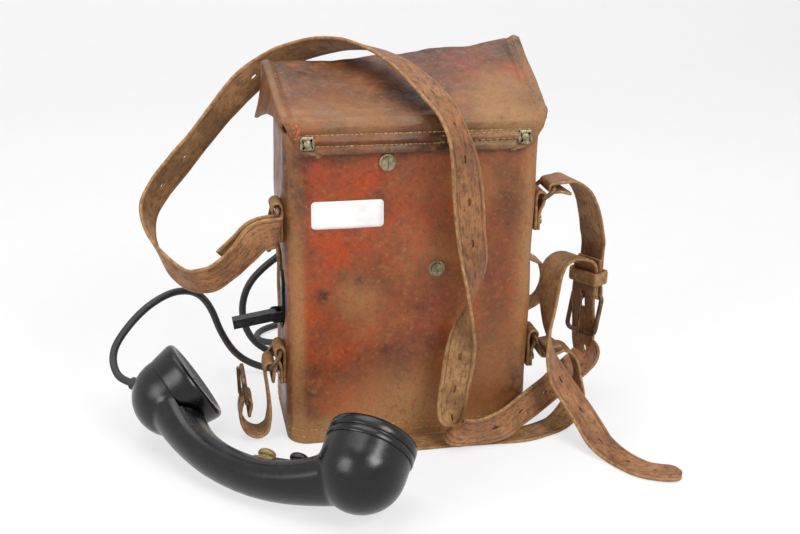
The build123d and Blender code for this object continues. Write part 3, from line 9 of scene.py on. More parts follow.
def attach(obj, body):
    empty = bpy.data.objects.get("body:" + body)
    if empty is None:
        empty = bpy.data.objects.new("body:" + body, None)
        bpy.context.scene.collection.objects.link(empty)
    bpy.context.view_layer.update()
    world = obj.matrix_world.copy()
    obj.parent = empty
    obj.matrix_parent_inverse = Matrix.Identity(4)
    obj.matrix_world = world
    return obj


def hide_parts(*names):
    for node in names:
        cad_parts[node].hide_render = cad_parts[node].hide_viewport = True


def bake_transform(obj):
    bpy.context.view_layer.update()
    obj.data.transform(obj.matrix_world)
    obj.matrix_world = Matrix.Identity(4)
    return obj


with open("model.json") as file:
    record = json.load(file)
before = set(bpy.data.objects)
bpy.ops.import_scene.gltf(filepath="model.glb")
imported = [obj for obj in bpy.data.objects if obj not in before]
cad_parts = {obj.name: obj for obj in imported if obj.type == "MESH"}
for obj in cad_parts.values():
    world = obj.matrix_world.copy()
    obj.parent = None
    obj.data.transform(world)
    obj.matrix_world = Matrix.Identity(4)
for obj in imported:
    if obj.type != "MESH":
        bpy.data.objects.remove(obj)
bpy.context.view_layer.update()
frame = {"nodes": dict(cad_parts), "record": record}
scene = bpy.context.scene

# ---------------------------------------------------------------- camera
# The camera stands in front of the case, a little to its left and above its lid,
# and looks down on it at the photograph's angle.
camera = bpy.data.objects.new("camera", bpy.data.cameras.new("camera"))
scene.collection.objects.link(camera)
camera.data.sensor_width = 36
camera.data.lens = 52.9
level, upright = Vector((0.9796, -0.2011, 0)), Vector((0.0685, 0.3335, 0.9403))
ahead, roll = Vector((0.1891, 0.9211, -0.3404)), radians(0.9)
sideways = level * cos(roll) + upright * sin(roll)
above = upright * cos(roll) - level * sin(roll)
camera.matrix_world = (Matrix.Translation((-0.175, -0.848, 0.437))
                       @ Matrix((sideways, above, -ahead)).transposed().to_4x4())
scene.camera = camera

# ---------------------------------------------------------------- studio
# A seamless white paper sweep, rising behind the case, under three large soft
# lamps: a key from the front right, a weaker fill from the left and one overhead.


def skin(name, rings, closed=True, loop=False, ends=False, materials=()):
    """Mesh object from rings of points in millimetres; loop joins the last ring to the first."""
    count, total = len(rings[0]), len(rings)
    faces = []
    for row in range(total if loop else total - 1):
        near, far = row * count, (row + 1) % total * count
        for a in range(count if closed else count - 1):
            b = (a + 1) % count
            faces.append((near + a, near + b, far + b, far + a))
    if ends:
        faces += [tuple(reversed(range(count))), tuple(range((total - 1) * count, total * count))]
    mesh = bpy.data.meshes.new(name)
    mesh.from_pydata([Vector(point) / 1000 for ring in rings for point in ring], [], faces)
    work = bmesh.new()
    work.from_mesh(mesh)
    bmesh.ops.remove_doubles(work, verts=work.verts, dist=1e-6)
    bmesh.ops.recalc_face_normals(work, faces=work.faces)
    work.to_mesh(mesh)
    work.free()
    mesh.polygons.foreach_set("use_smooth", [True] * len(mesh.polygons))
    for material in materials:
        mesh.materials.append(material)
    piece = bpy.data.objects.new(name, mesh)
    scene.collection.objects.link(piece)
    return piece


def rgb(code):
    """Linear colour of a screen colour."""
    shares = [int(code[at:at + 2], 16) / 255 for at in (0, 2, 4)]
    return [share / 12.92 if share <= 0.04045 else ((share + 0.055) / 1.055) ** 2.4
            for share in shares] + [1]


def put(tree, kind, settings=None, out=0, stops=(), **sockets):
    """Adds a shader node and gives one of its outputs. A socket is named, or numbered as in s6,
    and takes a value, a screen colour or a link; stops are a ramp's places and colours."""
    made = tree.nodes.new("ShaderNode" + kind)
    for key, value in (settings or {}).items():
        setattr(made, key, value)
    for index, (position, code) in enumerate(stops):
        marks = made.color_ramp.elements
        mark = marks[index] if index < 2 else marks.new(position)
        mark.position, mark.color = position, rgb(code)
    for key, value in sockets.items():
        numbered = key[0] == "s" and key[1:].isdigit()
        socket = made.inputs[int(key[1:]) if numbered else key.replace("_", " ")]
        if isinstance(value, bpy.types.NodeSocket):
            tree.links.new(value, socket)
        else:
            socket.default_value = rgb(value) if isinstance(value, str) else value
    return made.outputs[out] if made.outputs else made


def background_rays(tree):
    """1 for the rays that show the background itself: seen, mirrored or through glass."""
    rays = put(tree, "LightPath").node.outputs
    seen = put(tree, "Math", s0=rays["Is Camera Ray"], s1=rays["Is Glossy Ray"])
    return put(tree, "Math", {"use_clamp": True}, s0=seen, s1=rays["Is Transmission Ray"])


sweep_profile = [(-1800, 0), (-600, 0), (0, 0), (700, 0), (1300, 0)]
sweep_profile += [(1300 + 700 * sin(radians(turn)), 700 - 700 * cos(radians(turn)))
                  for turn in range(10, 91, 10)]
sweep_profile += [(2000, 2600)]
backdrop = skin("paper_sweep", [[(x, y, z) for y, z in sweep_profile] for x in (-2600, -900, 900, 2600)],
                closed=False)
# Matt white paper, faintly cloudy; it shows as plain white while it still takes the shadow.
paper = bpy.data.materials.new("white_studio_paper")
paper.use_nodes = True
tree = paper.node_tree
tree.nodes.clear()
share = put(tree, "Math", {"operation": "MULTIPLY"}, s0=background_rays(tree), s1=0.68)
fibres = put(tree, "TexNoise", Vector=put(tree, "TexCoord", out="Object"), Scale=35, Detail=6)
tone = put(tree, "ValToRGB", stops=((0.0, "e9e9ea"), (1.0, "f1f1f1")), Fac=fibres)
lit = put(tree, "BsdfPrincipled", Base_Color=tone, Roughness=0.8)
glow = put(tree, "Emission", Color="fdfdfe", Strength=1.0)
put(tree, "OutputMaterial", Surface=put(tree, "MixShader", s0=share, s1=lit, s2=glow))
backdrop.data.materials.append(paper)

for name, spot, size, power in (("key", (0.75, -1.25, 1.35), 0.8, 21),
                                ("fill", (-1.5, -0.9, 1.0), 0.9, 14),
                                ("overhead", (-0.15, 0.25, 1.9), 1.5, 21)):
    lamp = bpy.data.objects.new(name, bpy.data.lights.new(name, "AREA"))
    lamp.data.size, lamp.data.energy = size, power
    lamp.location = spot
    lamp.rotation_euler = (Vector((0, 0, 0.12)) - lamp.location).to_track_quat("-Z", "Y").to_euler()
    scene.collection.objects.link(lamp)
scene.world = bpy.data.worlds.new("studio")
scene.world.use_nodes = True
tree = scene.world.node_tree
tree.nodes.clear()
strength = put(tree, "MapRange", s0=background_rays(tree), s3=0.34, s4=1.0)
put(tree, "OutputWorld", Surface=put(tree, "Background", Color="fbfcff", Strength=strength))
scene.view_settings.view_transform = "Standard"

# ---------------------------------------------------------------- handset cord
# One length of limp black rubber cord, 6 mm thick. It leaves the back of the case
# through its grommet, lies in loops on the floor behind and ends in the handset.


def material(name):
    """New node material; gives it, its empty node tree and its object coordinates."""
    made = bpy.data.materials.new(name)
    made.use_nodes = True
    made.node_tree.nodes.clear()
    return made, made.node_tree, put(made.node_tree, "TexCoord", out="Object")


# Aged rubber: nearly black, with grey dust in clouds that take its gloss away.
rubber, tree, place = material("aged_black_rubber")
dust = put(tree, "TexNoise", Vector=place, Scale=1000 / 9, Detail=6, Roughness=0.55)
pores = put(tree, "TexNoise", Vector=place, Scale=1000 / 1.5, Detail=4, Roughness=0.55)
colour = put(tree, "ValToRGB", stops=((0.35, "151413"), (0.55, "22201e"), (0.75, "3a3733")), Fac=dust)
rough = put(tree, "MapRange", s0=dust, s1=0.3, s2=0.7, s3=0.42, s4=0.62)
relief = put(tree, "Bump", Height=pores, Distance=0.12 / 1000)
relief = put(tree, "Bump", Height=dust, Distance=0.25 / 1000, Normal=relief)
shader = put(tree, "BsdfPrincipled", Base_Color=colour, Roughness=rough, Normal=relief)
put(tree, "OutputMaterial", Surface=shader)

route = [
    (-60, 35.6, 200), (-60, 56, 200), (-61, 68, 193), (-62, 76, 174), (-65, 80, 150), (-72, 81, 129),
    (-85, 80, 112), (-101, 79, 101), (-114, 79, 87), (-120, 80, 69), (-119, 84, 50), (-112, 91, 31),
    (-98, 99, 15), (-79, 107, 5), (-54, 113, 3.3), (-24, 118, 3.3), (8, 122, 3.3), (40, 130, 3.3),
    (62, 148, 3.3), (64, 174, 3.3), (44, 193, 3.3), (14, 201, 3.3), (-18, 201, 3.3), (-50, 197, 3.3),
    (-80, 187, 3.3), (-100, 173, 3.4), (-104, 153, 3.8), (-92, 137, 6), (-73, 130, 9.6), (-56, 126.2, 11.4),
    (-44, 118.5, 11.8), (-39, 105, 10.2), (-42.7, 91.5, 6.5), (-54, 82.5, 4.2), (-70, 80.5, 3.6),
    (-88, 83.5, 3.6), (-108, 90, 5.5), (-126, 96.5, 15), (-138, 99, 36), (-145, 95, 61), (-156, 84, 80),
    (-173, 70, 88), (-191, 57, 85), (-207, 45.5, 76), (-222.5, 32, 61), (-226, 26.7, 50),
    (-224.1, 19.4, 42.1), (-219, 11.6, 37.9), (-211, 5.3, 37.4),
]
route_curve = bpy.data.curves.new("cord_route", "CURVE")
route_curve.dimensions = "3D"
route_spline = route_curve.splines.new("NURBS")
route_spline.points.add(len(route) - 1)
for control, (x, y, z) in zip(route_spline.points, route):
    control.co = (x / 1000, y / 1000, z / 1000, 1)
route_spline.order_u = 3
route_spline.use_endpoint_u = True
route_spline.resolution_u = 6
route_object = bpy.data.objects.new("cord_route", route_curve)
scene.collection.objects.link(route_object)
bpy.context.view_layer.update()
route_line = bpy.data.meshes.new_from_object(route_object)
cord_line = [vertex.co * 1000 for vertex in route_line.vertices]
bpy.data.objects.remove(route_object)


def tube(name, line, radius, around=14, materials=()):
    """Round tube along a line of points in millimetres; radius may be one value for each point."""
    radii = radius if isinstance(radius, list) else [radius] * len(line)
    side, rings = Vector((0, 0, 1)), []
    for index, middle in enumerate(line):
        along = (line[min(index + 1, len(line) - 1)] - line[max(index - 1, 0)]).normalized()
        side = (side - along * side.dot(along)).normalized()
        other = along.cross(side)
        rings.append([middle + (side * cos(turn) + other * sin(turn)) * radii[index]
                      for turn in (2 * pi * step / around for step in range(around))])
    return skin(name, rings, ends=True, materials=materials)


cord = tube("handset_cord_dressed", cord_line, 3.0, 16, [rubber])
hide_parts("handset_cord")
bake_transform(cord)

# ---------------------------------------------------------------- leather case
# An upright tube of russet case leather with a bottom sewn inside it, both waxed and
# rubbed through at the corners, with two rows of pale linen thread along the foot.
CASE_W, CASE_D, CASE_H, LEATHER, CORNER = 190, 96, 243, 3.5, 16


def swell(x, y, z, amount=1.0):
    """How far old leather stands in or out at a place, in millimetres."""
    slow = noise.noise(Vector((x, y, z)) / 70) * 1.6
    return amount * (slow + noise.noise(Vector((x + 300, y, z)) / 24) * 0.55)


def round_outline(width, depth, radius, offset=0.0):
    """(point, outward direction, corner share) round a rounded rectangle."""
    places = []
    corners = ((1, -1, -90, 15), (1, 1, 0, 40), (-1, 1, 90, 15), (-1, -1, 180, 40))
    for sx, sy, start, straight in corners:
        middle = Vector((sx * (width / 2 - radius), sy * (depth / 2 - radius), 0))
        for step in range(13):
            turn = radians(start + 90 * step / 12)
            out = Vector((cos(turn), sin(turn), 0))
            places.append((middle + out * (radius + offset), out, sin(pi * step / 12)))
        length = (depth if straight == 15 else width) - 2 * radius
        along = Vector((-out.y, out.x, 0))
        first = places[-1][0]
        places += [(first + along * length * step / straight, out, 0.0) for step in range(1, straight)]
    return places


def paint(piece, name, value):
    """Stores a number at each vertex, from its place in millimetres."""
    layer = piece.data.attributes.new(name, "FLOAT", "POINT")
    layer.data.foreach_set("value", [value(vertex.co * 1000) for vertex in piece.data.vertices])


def patches(point, spots):
    """Sum of soft spots (x, y or None, z, width, height, strength) at a point."""
    total = 0.0
    for x, y, z, wide, high, strength in spots:
        reach = ((point.x - x) / wide) ** 2 + ((point.z - z) / high) ** 2
        if y is not None:
            reach += ((point.y - y) / wide) ** 2
        total += strength * exp(-reach)
    return total


TIMES = {"operation": "MULTIPLY", "use_clamp": True}
PLUS = {"operation": "ADD", "use_clamp": True}
COLOURS = {"data_type": "RGBA"}


def leather(name, base, red, dark, worn, rough=(0.30, 0.52)):
    """Waxed, worn leather: base tones, and colours for dyed, rubbed and dark places; the dark colour is laid
    on stains and on painted shade alike.
    """
    made, tree, place = material(name)
    cloud = put(tree, "TexNoise", Vector=place, Scale=1000 / 46, Detail=10, Roughness=0.68)
    fleck = put(tree, "TexNoise", Vector=place, Scale=1000 / 6, Detail=10, Roughness=0.78)
    colour = put(tree, "ValToRGB", stops=base, Fac=cloud)

    dyed = put(tree, "TexNoise", Vector=place, Scale=1000 / 21, Detail=10, Roughness=0.74)
    dyed = put(tree, "MapRange", s0=dyed, s1=0.38, s2=0.60)
    red_at = put(tree, "Attribute", {"attribute_name": "red"}, "Fac")
    dyed = put(tree, "Math", TIMES, s0=red_at, s1=dyed)
    colour = put(tree, "Mix", COLOURS, 2, s0=dyed, s6=colour, s7=red)

    rubbed = put(tree, "MapRange", s0=fleck, s1=0.36, s2=0.62, s3=0.15)
    worn_at = put(tree, "Attribute", {"attribute_name": "worn"}, "Fac")
    rubbed = put(tree, "Math", TIMES, s0=worn_at, s1=rubbed)
    colour = put(tree, "Mix", COLOURS, 2, s0=rubbed, s6=colour, s7=worn)

    # Dark places from the dark attribute: stains, and on the case also painted shade.
    stain_and_shade = put(tree, "TexNoise", Vector=place, Scale=1000 / 15, Detail=10, Roughness=0.74)
    stain_and_shade = put(tree, "MapRange", s0=stain_and_shade, s1=0.34, s2=0.58, s3=0.1)
    dark_at = put(tree, "Attribute", {"attribute_name": "dark"}, "Fac")
    stain_and_shade = put(tree, "Math", TIMES, s0=dark_at, s1=stain_and_shade)
    colour = put(tree, "Mix", COLOURS, 2, s0=stain_and_shade, s6=colour, s7=dark)

    for size, detail, rugged, low, high, most, tint in (
            (6, 10, 0.78, 0.50, 0.66, 0.5, dark), (3.4, 10, 0.8, 0.53, 0.66, 0.62, worn),
            (1.7, 6, 0.8, 0.52, 0.66, 0.5, dark), (1.9, 10, 0.8, 0.62, 0.70, 0.7, "c9a27a")):
        stretch = (1, 1, 0.5) if tint == "c9a27a" else (1, 1, 1)
        speck = put(tree, "Mapping", Vector=place, Scale=stretch)
        speck = put(tree, "TexNoise", Vector=speck, Scale=1000 / size, Detail=detail, Roughness=rugged)
        speck = put(tree, "MapRange", s0=speck, s1=low, s2=high, s4=most)
        colour = put(tree, "Mix", COLOURS, 2, s0=speck, s6=colour, s7=tint)

    waxed = put(tree, "TexNoise", Vector=place, Scale=1000 / 24, Detail=6, Roughness=0.55)
    waxed = put(tree, "MapRange", s0=waxed, s1=0.35, s2=0.65, s3=rough[0], s4=rough[1])
    dulled = put(tree, "MapRange", s0=rubbed, s4=0.16)
    hide = put(tree, "TexNoise", Vector=place, Scale=1000 / 9, Detail=8, Roughness=0.65)
    pores = put(tree, "TexVoronoi", Vector=place, Scale=1000 / 1.3)
    relief = put(tree, "Bump", Height=hide, Distance=0.55 / 1000)
    relief = put(tree, "Bump", Height=fleck, Distance=0.22 / 1000, Normal=relief)
    relief = put(tree, "Bump", Height=pores, Distance=0.10 / 1000, Normal=relief)
    shader = put(tree, "BsdfPrincipled", Base_Color=colour, Normal=relief, Specular_IOR_Level=0.38,
                 Roughness=put(tree, "Math", PLUS, s0=waxed, s1=dulled))
    put(tree, "OutputMaterial", Surface=shader)
    return made


# Waxed cow hide, vegetable tanned: a soft sheen over mottled browns, with red dye, dark stains, painted shade
# over the case's left side and tan scuffs where they were painted on the mesh.
case_leather = leather("russet_case_leather", ((0.30, "472211"), (0.43, "74391b"), (0.56, "8c4a26"),
                                               (0.74, "a96c3e")), "a83c0c", "24140c", "b08550")
# A cut edge, rubbed bare: dry, tan and dull.
cut_edge, tree, place = material("rubbed_leather_edge")
fuzz = put(tree, "TexNoise", Vector=place, Scale=1000 / 4, Detail=8, Roughness=0.7)
shine = put(tree, "TexNoise", Vector=place, Scale=1000 / 2, Detail=4, Roughness=0.55)
fibres = put(tree, "TexNoise", Vector=place, Scale=1000 / 0.9, Detail=6, Roughness=0.55)
colour = put(tree, "ValToRGB", stops=((0.3, "5f3f25"), (0.5, "946b40"), (0.7, "b8925f")), Fac=fuzz)
rough = put(tree, "MapRange", s0=shine, s1=0.3, s2=0.7, s3=0.6, s4=0.85)
relief = put(tree, "Bump", Height=fibres, Distance=0.15 / 1000)
shader = put(tree, "BsdfPrincipled", Base_Color=colour, Roughness=rough, Normal=relief)
put(tree, "OutputMaterial", Surface=shader)
# The flesh side, never finished: rough, matt and fibrous.
flesh, tree, place = material("leather_flesh_side")
nap = put(tree, "TexNoise", Vector=place, Scale=1000 / 12, Detail=8, Roughness=0.7)
shine = put(tree, "TexNoise", Vector=place, Scale=1000 / 3, Detail=4, Roughness=0.55)
fibres = put(tree, "TexNoise", Vector=place, Scale=1000 / 0.8, Detail=8, Roughness=0.7)
wrinkles = put(tree, "TexNoise", Vector=place, Scale=1000 / 6, Detail=4, Roughness=0.55)
colour = put(tree, "ValToRGB", stops=((0.3, "3b281b"), (0.5, "5f4129"), (0.72, "84603f")), Fac=nap)
rough = put(tree, "MapRange", s0=shine, s1=0.3, s2=0.7, s3=0.7, s4=0.92)
relief = put(tree, "Bump", Height=fibres, Distance=0.25 / 1000)
relief = put(tree, "Bump", Height=wrinkles, Distance=0.3 / 1000, Normal=relief)
shader = put(tree, "BsdfPrincipled", Base_Color=colour, Roughness=rough, Normal=relief)
put(tree, "OutputMaterial", Surface=shader)
# Linen thread, waxed and twisted: pale straw that has gone brown in places, with its lay showing.
thread, tree, place = material("waxed_linen_thread")
grime = put(tree, "TexNoise", Vector=place, Scale=1000 / 3, Detail=6, Roughness=0.7)
shine = put(tree, "TexNoise", Vector=place, Scale=1000, Detail=4, Roughness=0.55)
twist = put(tree, "TexWave", None, "Fac", Vector=place, Scale=900, Distortion=2)
colour = put(tree, "ValToRGB", stops=((0.35, "6f5331"), (0.5, "a98a55"), (0.66, "d3bd86")), Fac=grime)
rough = put(tree, "MapRange", s0=shine, s1=0.3, s2=0.7, s3=0.6, s4=0.8)
relief = put(tree, "Bump", Height=twist, Distance=0.12 / 1000)
shader = put(tree, "BsdfPrincipled", Base_Color=colour, Roughness=rough, Normal=relief)
put(tree, "OutputMaterial", Surface=shader)

outline = round_outline(CASE_W, CASE_D, CORNER)
climb = [(1.4, 0.0), (0.5, 0.6), (0.0, 1.8)] + [(0.0, 3 + (CASE_H - 5) * step / 84) for step in range(85)]
climb += [(0.5, CASE_H - 0.7), (1.6, CASE_H)]
wall_rings = []
for inner, levels in ((False, climb), (True, climb[::-1])):
    for inset, z in levels:
        depth = LEATHER - inset * 0.6 if inner else inset
        wall_rings.append([point - out * depth + out * swell(point.x, point.y, z, min(1, z / 18))
                           + Vector((0, 0, z)) for point, out, corner in outline])
case = skin("case_wall_dressed", wall_rings, loop=True, materials=[case_leather, cut_edge])


def corner_wear(point):
    """Rubbed upright corners, foot and rim."""
    corner = max(0.0, (abs(point.x) - 80) / 15) * max(0.0, (abs(point.y) - 33) / 15)
    foot = exp(-(point.z / 17) ** 2) + 0.8 * exp(-((point.z - CASE_H) / 5) ** 2)
    rubs = ((-5, None, 34, 42, 26, 0.95), (-42, None, 118, 15, 20, 0.75), (62, None, 60, 26, 46, 0.55),
            (45, None, 205, 35, 22, 0.45), (84, None, 150, 9, 90, 0.5), (-60, None, 12, 40, 14, 0.7),
            (20, None, 150, 34, 26, 0.35), (-86, None, 100, 5, 90, 0.6))
    return min(1.0, 1.1 * corner + foot + patches(point, rubs))


paint(case, "red", lambda p: min(1.0, 0.14 + patches(p, (
    (-58, None, 154, 19, 20, 1.0), (-60, None, 84, 26, 15, 1.2), (-45, None, 212, 20, 16, 1.0),
    (-12, None, 205, 26, 30, 0.55), (-72, None, 190, 10, 50, 0.7), (-78, None, 120, 10, 40, 0.7),
    (-48, None, 40, 22, 14, 0.7), (18, None, 104, 16, 14, 0.65), (0, None, 165, 30, 26, 0.35),
    (40, None, 205, 24, 26, 0.3), (66, None, 90, 22, 40, 0.3), (-28, None, 176, 26, 14, 0.6)))))
# Dark stains and spots, plus painted shade: the whole left side, past x = -92, is made 0.5 darker.
paint(case, "dark", lambda p: min(1.0, patches(p, (
    (-69, None, 121, 6.5, 6.5, 1.1), (-40, None, 131, 6, 7, 0.9), (-77, None, 44, 9, 22, 0.95),
    (-16, None, 74, 24, 15, 0.6), (-84, None, 205, 9, 36, 0.75), (74, None, 196, 12, 26, 0.55),
    (-26, None, 190, 8, 13, 0.5), (84, None, 40, 12, 40, 0.7), (20, None, 232, 70, 5, 0.6),
    (17, None, 139, 10, 10, 0.35), (-60, None, 225, 26, 5, 0.6), (60, None, 130, 14, 60, 0.25)))
    + (0.5 if p.x < -92 else 0.0)))
paint(case, "worn", corner_wear)


def cut(piece, cutters):
    """Takes the cutters out of a piece and removes them; the faces of the cut get material 1."""
    for cutter in cutters:
        while len(cutter.data.materials) < 2:
            cutter.data.materials.append(cut_edge)
        cutter.data.polygons.foreach_set("material_index", [1] * len(cutter.data.polygons))
        change = piece.modifiers.new("cut", "BOOLEAN")
        change.operation, change.solver, change.object = "DIFFERENCE", "EXACT", cutter
    bpy.context.view_layer.update()
    done = bpy.data.meshes.new_from_object(piece.evaluated_get(bpy.context.evaluated_depsgraph_get()))
    piece.modifiers.clear()
    old, piece.data = piece.data, done
    bpy.data.meshes.remove(old)
    for cutter in cutters:
        bpy.data.objects.remove(cutter)
    piece.data.polygons.foreach_set("use_smooth", [True] * len(piece.data.polygons))


crank_cut = tube("crank_cut", [Vector((-110, 0, 117)), Vector((-80, 0, 117))], 36.5, 96)
cord_cut = tube("cord_cut", [Vector((-60, 40, 200)), Vector((-60, 60, 200))], 6.5, 32)
cut(case, [crank_cut, cord_cut])
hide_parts("case_wall")
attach(case, "case")

TRAY_FLANGE = 3.0
tray_rings = []
for inset, z in ((TRAY_FLANGE, 4.0), (TRAY_FLANGE, 16.0), (0.6, 16.0), (0.0, 15.0), (0.0, 1.5),
                 (1.0, 0.2), (12, 0.2)):
    tray_rings.append([point + Vector((0, 0, z))
                       for point, out, corner in round_outline(183, 89, 12.5, -inset)])
tray = skin("case_bottom_dressed", tray_rings, ends=True, materials=[case_leather])
for name, amount in (("red", 0.2), ("dark", 0.6), ("worn", 0.3)):
    paint(tray, name, lambda p, amount=amount: amount)
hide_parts("case_bottom")
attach(tray, "case")


def stitches(name, line, twine, spacing=4.6, length=3.1, radius=0.5, body="case", slot="case_leather"):
    """Row of sunk thread stitches along a line of (point, outward direction) places."""
    points, faces, run, next_at = [], [], 0.0, 0.0
    for (start, out), (end, end_out) in zip(line, line[1:]):
        step = (end - start).length
        while next_at < run + step and step > 1e-6:
            middle = start.lerp(end, (next_at - run) / step)
            along = (end - start).normalized()
            lift = (out - along * out.dot(along)).normalized()
            wide = along.cross(lift)
            first = len(points)
            for share, girth in ((-0.5, 0.35), (-0.36, 0.85), (0, 1), (0.36, 0.85), (0.5, 0.35)):
                for turn in range(6):
                    angle = pi * turn / 3
                    points.append(middle + along * length * share
                                  + lift * (radius * girth * cos(angle) * 0.8)
                                  + wide * (radius * girth * sin(angle)))
            for ring in range(4):
                for a in range(6):
                    b = (a + 1) % 6
                    near, far = first + ring * 6, first + ring * 6 + 6
                    faces.append((near + a, near + b, far + b, far + a))
            faces += [tuple(first + a for a in reversed(range(6))), tuple(first + 24 + a for a in range(6))]
            next_at += spacing
        run += step
    mesh = bpy.data.meshes.new(name)
    mesh.from_pydata([point / 1000 for point in points], [], faces)
    mesh.polygons.foreach_set("use_smooth", [True] * len(faces))
    mesh.materials.append(twine)
    piece = bpy.data.objects.new(name, mesh)
    scene.collection.objects.link(piece)
    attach(piece, body)


for row, z in enumerate((7.0, 12.5)):
    seam = [(point + out * (swell(point.x, point.y, z, z / 18) + 0.1) + Vector((0, 0, z)), out)
            for point, out, corner in outline]
    stitches("foot_stitches_" + "ab"[row], seam + seam[:1], thread)

# ---------------------------------------------------------------- paper label
# A plain white gummed paper label, blank, stuck on the upper left of the front.
# Gummed paper: near white, smooth and matt, a little uneven from its glue.
label_paper, tree, place = material("gummed_white_paper")
tone = put(tree, "TexNoise", Vector=place, Scale=1000 / 14, Detail=6, Roughness=0.55)
shine = put(tree, "TexNoise", Vector=place, Scale=1000 / 2, Detail=4, Roughness=0.55)
glue = put(tree, "TexNoise", Vector=place, Scale=1000 / 5, Detail=4, Roughness=0.55)
colour = put(tree, "ValToRGB", stops=((0.3, "e4e2de"), (0.6, "f3f2f0")), Fac=tone)
rough = put(tree, "MapRange", s0=shine, s1=0.3, s2=0.7, s3=0.45, s4=0.6)
relief = put(tree, "Bump", Height=glue, Distance=0.08 / 1000)
shader = put(tree, "BsdfPrincipled", Base_Color=colour, Roughness=rough, Normal=relief)
put(tree, "OutputMaterial", Surface=shader)
LABEL_X, LABEL_Z, LABEL_T = -49.9, 183.9, 0.32
label_rings = []
for share, rise in [(1, 0.12)] + [(inward, LABEL_T) for inward in (1, 0.75, 0.5, 0.25, 0.02)]:
    ring = []
    for point, out, corner in round_outline(53, 20.5, 3.0):
        x, z = point.x * share + LABEL_X, point.y * share + LABEL_Z
        ring.append((x, -CASE_D / 2 - swell(x, -CASE_D / 2, z) - rise, z))
    label_rings.append(ring)
label = skin("blank_label", label_rings, ends=True, materials=[label_paper])
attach(label, "case")

# ---------------------------------------------------------------- metals and mouldings inside
# The chassis of black enamelled sheet, the hand generator with its three horseshoe
# magnets, the ringer, the speech circuit and the cells, all kept from the CAD model.


def metal(name, stops, rough, metallic=1.0, pit=0.12, size=7):
    """Worked metal with tarnish in clouds and small pits."""
    made, tree, place = material(name)
    cloud = put(tree, "TexNoise", Vector=place, Scale=1000 / size, Detail=8, Roughness=0.68)
    shine = put(tree, "TexNoise", Vector=place, Scale=2000 / size, Detail=6, Roughness=0.55)
    pits = put(tree, "TexNoise", Vector=place, Scale=1000 / 1.1, Detail=6, Roughness=0.7)
    relief = put(tree, "Bump", Height=pits, Distance=pit / 1000)
    relief = put(tree, "Bump", Height=cloud, Distance=pit / 1000, Normal=relief)
    shader = put(tree, "BsdfPrincipled", Base_Color=put(tree, "ValToRGB", stops=stops, Fac=cloud),
                 Roughness=put(tree, "MapRange", s0=shine, s1=0.3, s2=0.7, s3=rough[0], s4=rough[1]),
                 Metallic=metallic, Normal=relief)
    put(tree, "OutputMaterial", Surface=shader)
    return made


# The finish of each of the record's slots, from dull tarnish and rust to bright cut brass.
node_finish = {
    "worn_brass": metal("tarnished_brass", ((0.3, "4a4433"), (0.5, "8d8468"), (0.68, "b9ae8d")),
                        (0.34, 0.55), size=4),
    "dark_steel": metal("browned_steel_wire", ((0.3, "35261a"), (0.5, "6b4f38"), (0.7, "9a7a58")),
                        (0.38, 0.6), 0.75, size=4),
    "black_steel": metal("worn_black_enamel", ((0.35, "0c0c0d"), (0.6, "1c1c1d"), (0.78, "4a4540")),
                         (0.3, 0.5), 0.3),
    "machined_steel": metal("machined_steel", ((0.3, "8b8b8a"), (0.6, "b5b5b4")), (0.22, 0.38), size=20),
    "magnet_steel": metal("black_magnet_steel", ((0.3, "1b1b1c"), (0.6, "37373a")), (0.45, 0.65), 0.8,
                          size=12),
    "gear_brass": metal("cut_gear_brass", ((0.3, "b08d4c"), (0.6, "d3b06a")), (0.2, 0.38), size=14),
    "gong_plate": metal("dull_nickel_plate", ((0.3, "a9a49a"), (0.6, "cfcbc2")), (0.16, 0.34), size=20),
    "zinc_paper": metal("waxed_paper_wrap", ((0.3, "8d7a55"), (0.6, "b7a47c")), (0.55, 0.75), 0.0,
                        size=12),
    "capacitor_case": metal("grey_lacquer", ((0.3, "62645d"), (0.6, "7a7c74")), (0.35, 0.5), 0.1,
                            size=12),
    "capsule_metal": metal("spun_aluminium", ((0.3, "9b9c9d"), (0.6, "c2c3c4")), (0.28, 0.45), size=16),
    "black_rubber": rubber,
}
# Cotton-covered wire: dull green turns lying side by side, drawn coarser than real to show.
winding, tree, place = material("cotton_covered_winding")
turns = put(tree, "TexWave", {"bands_direction": "X"}, "Fac", Vector=place, Scale=420, Distortion=0.6)
colour = put(tree, "Mix", COLOURS, 2, s0=turns, s6="1d2a1c", s7="3f5a38")
rough = put(tree, "MapRange", s0=turns, s3=0.7, s4=0.9)
relief = put(tree, "Bump", Height=turns, Distance=0.2 / 1000)
shader = put(tree, "BsdfPrincipled", Base_Color=colour, Roughness=rough, Normal=relief)
put(tree, "OutputMaterial", Surface=shader)
node_finish["coil_fabric"] = winding

# Phenolic moulding: deep black with a soft gloss, finely scratched, brown where the hand wore it.
phenolic, tree, place = material("worn_black_phenolic")
haze = put(tree, "TexNoise", Vector=place, Scale=1000 / 16, Detail=8, Roughness=0.65)
scratch = put(tree, "Mapping", Vector=place, Scale=(1, 0.22, 1))
scratch = put(tree, "TexNoise", Vector=scratch, Scale=1000 / 1.4, Detail=10, Roughness=0.8)
colour = put(tree, "ValToRGB", stops=((0.35, "020203"), (0.6, "050506"), (0.8, "0e0e0e")), Fac=haze)
scratched = put(tree, "MapRange", s0=scratch, s1=0.62, s2=0.74, s4=0.3)
colour = put(tree, "Mix", COLOURS, 2, s0=scratched, s6=colour, s7="1d1b18")
dust = put(tree, "TexNoise", Vector=place, Scale=1000 / 0.9, Detail=4, Roughness=0.55)
dust = put(tree, "MapRange", s0=dust, s1=0.70, s2=0.76, s4=0.6)
colour = put(tree, "Mix", COLOURS, 2, s0=dust, s6=colour, s7="7d7568")
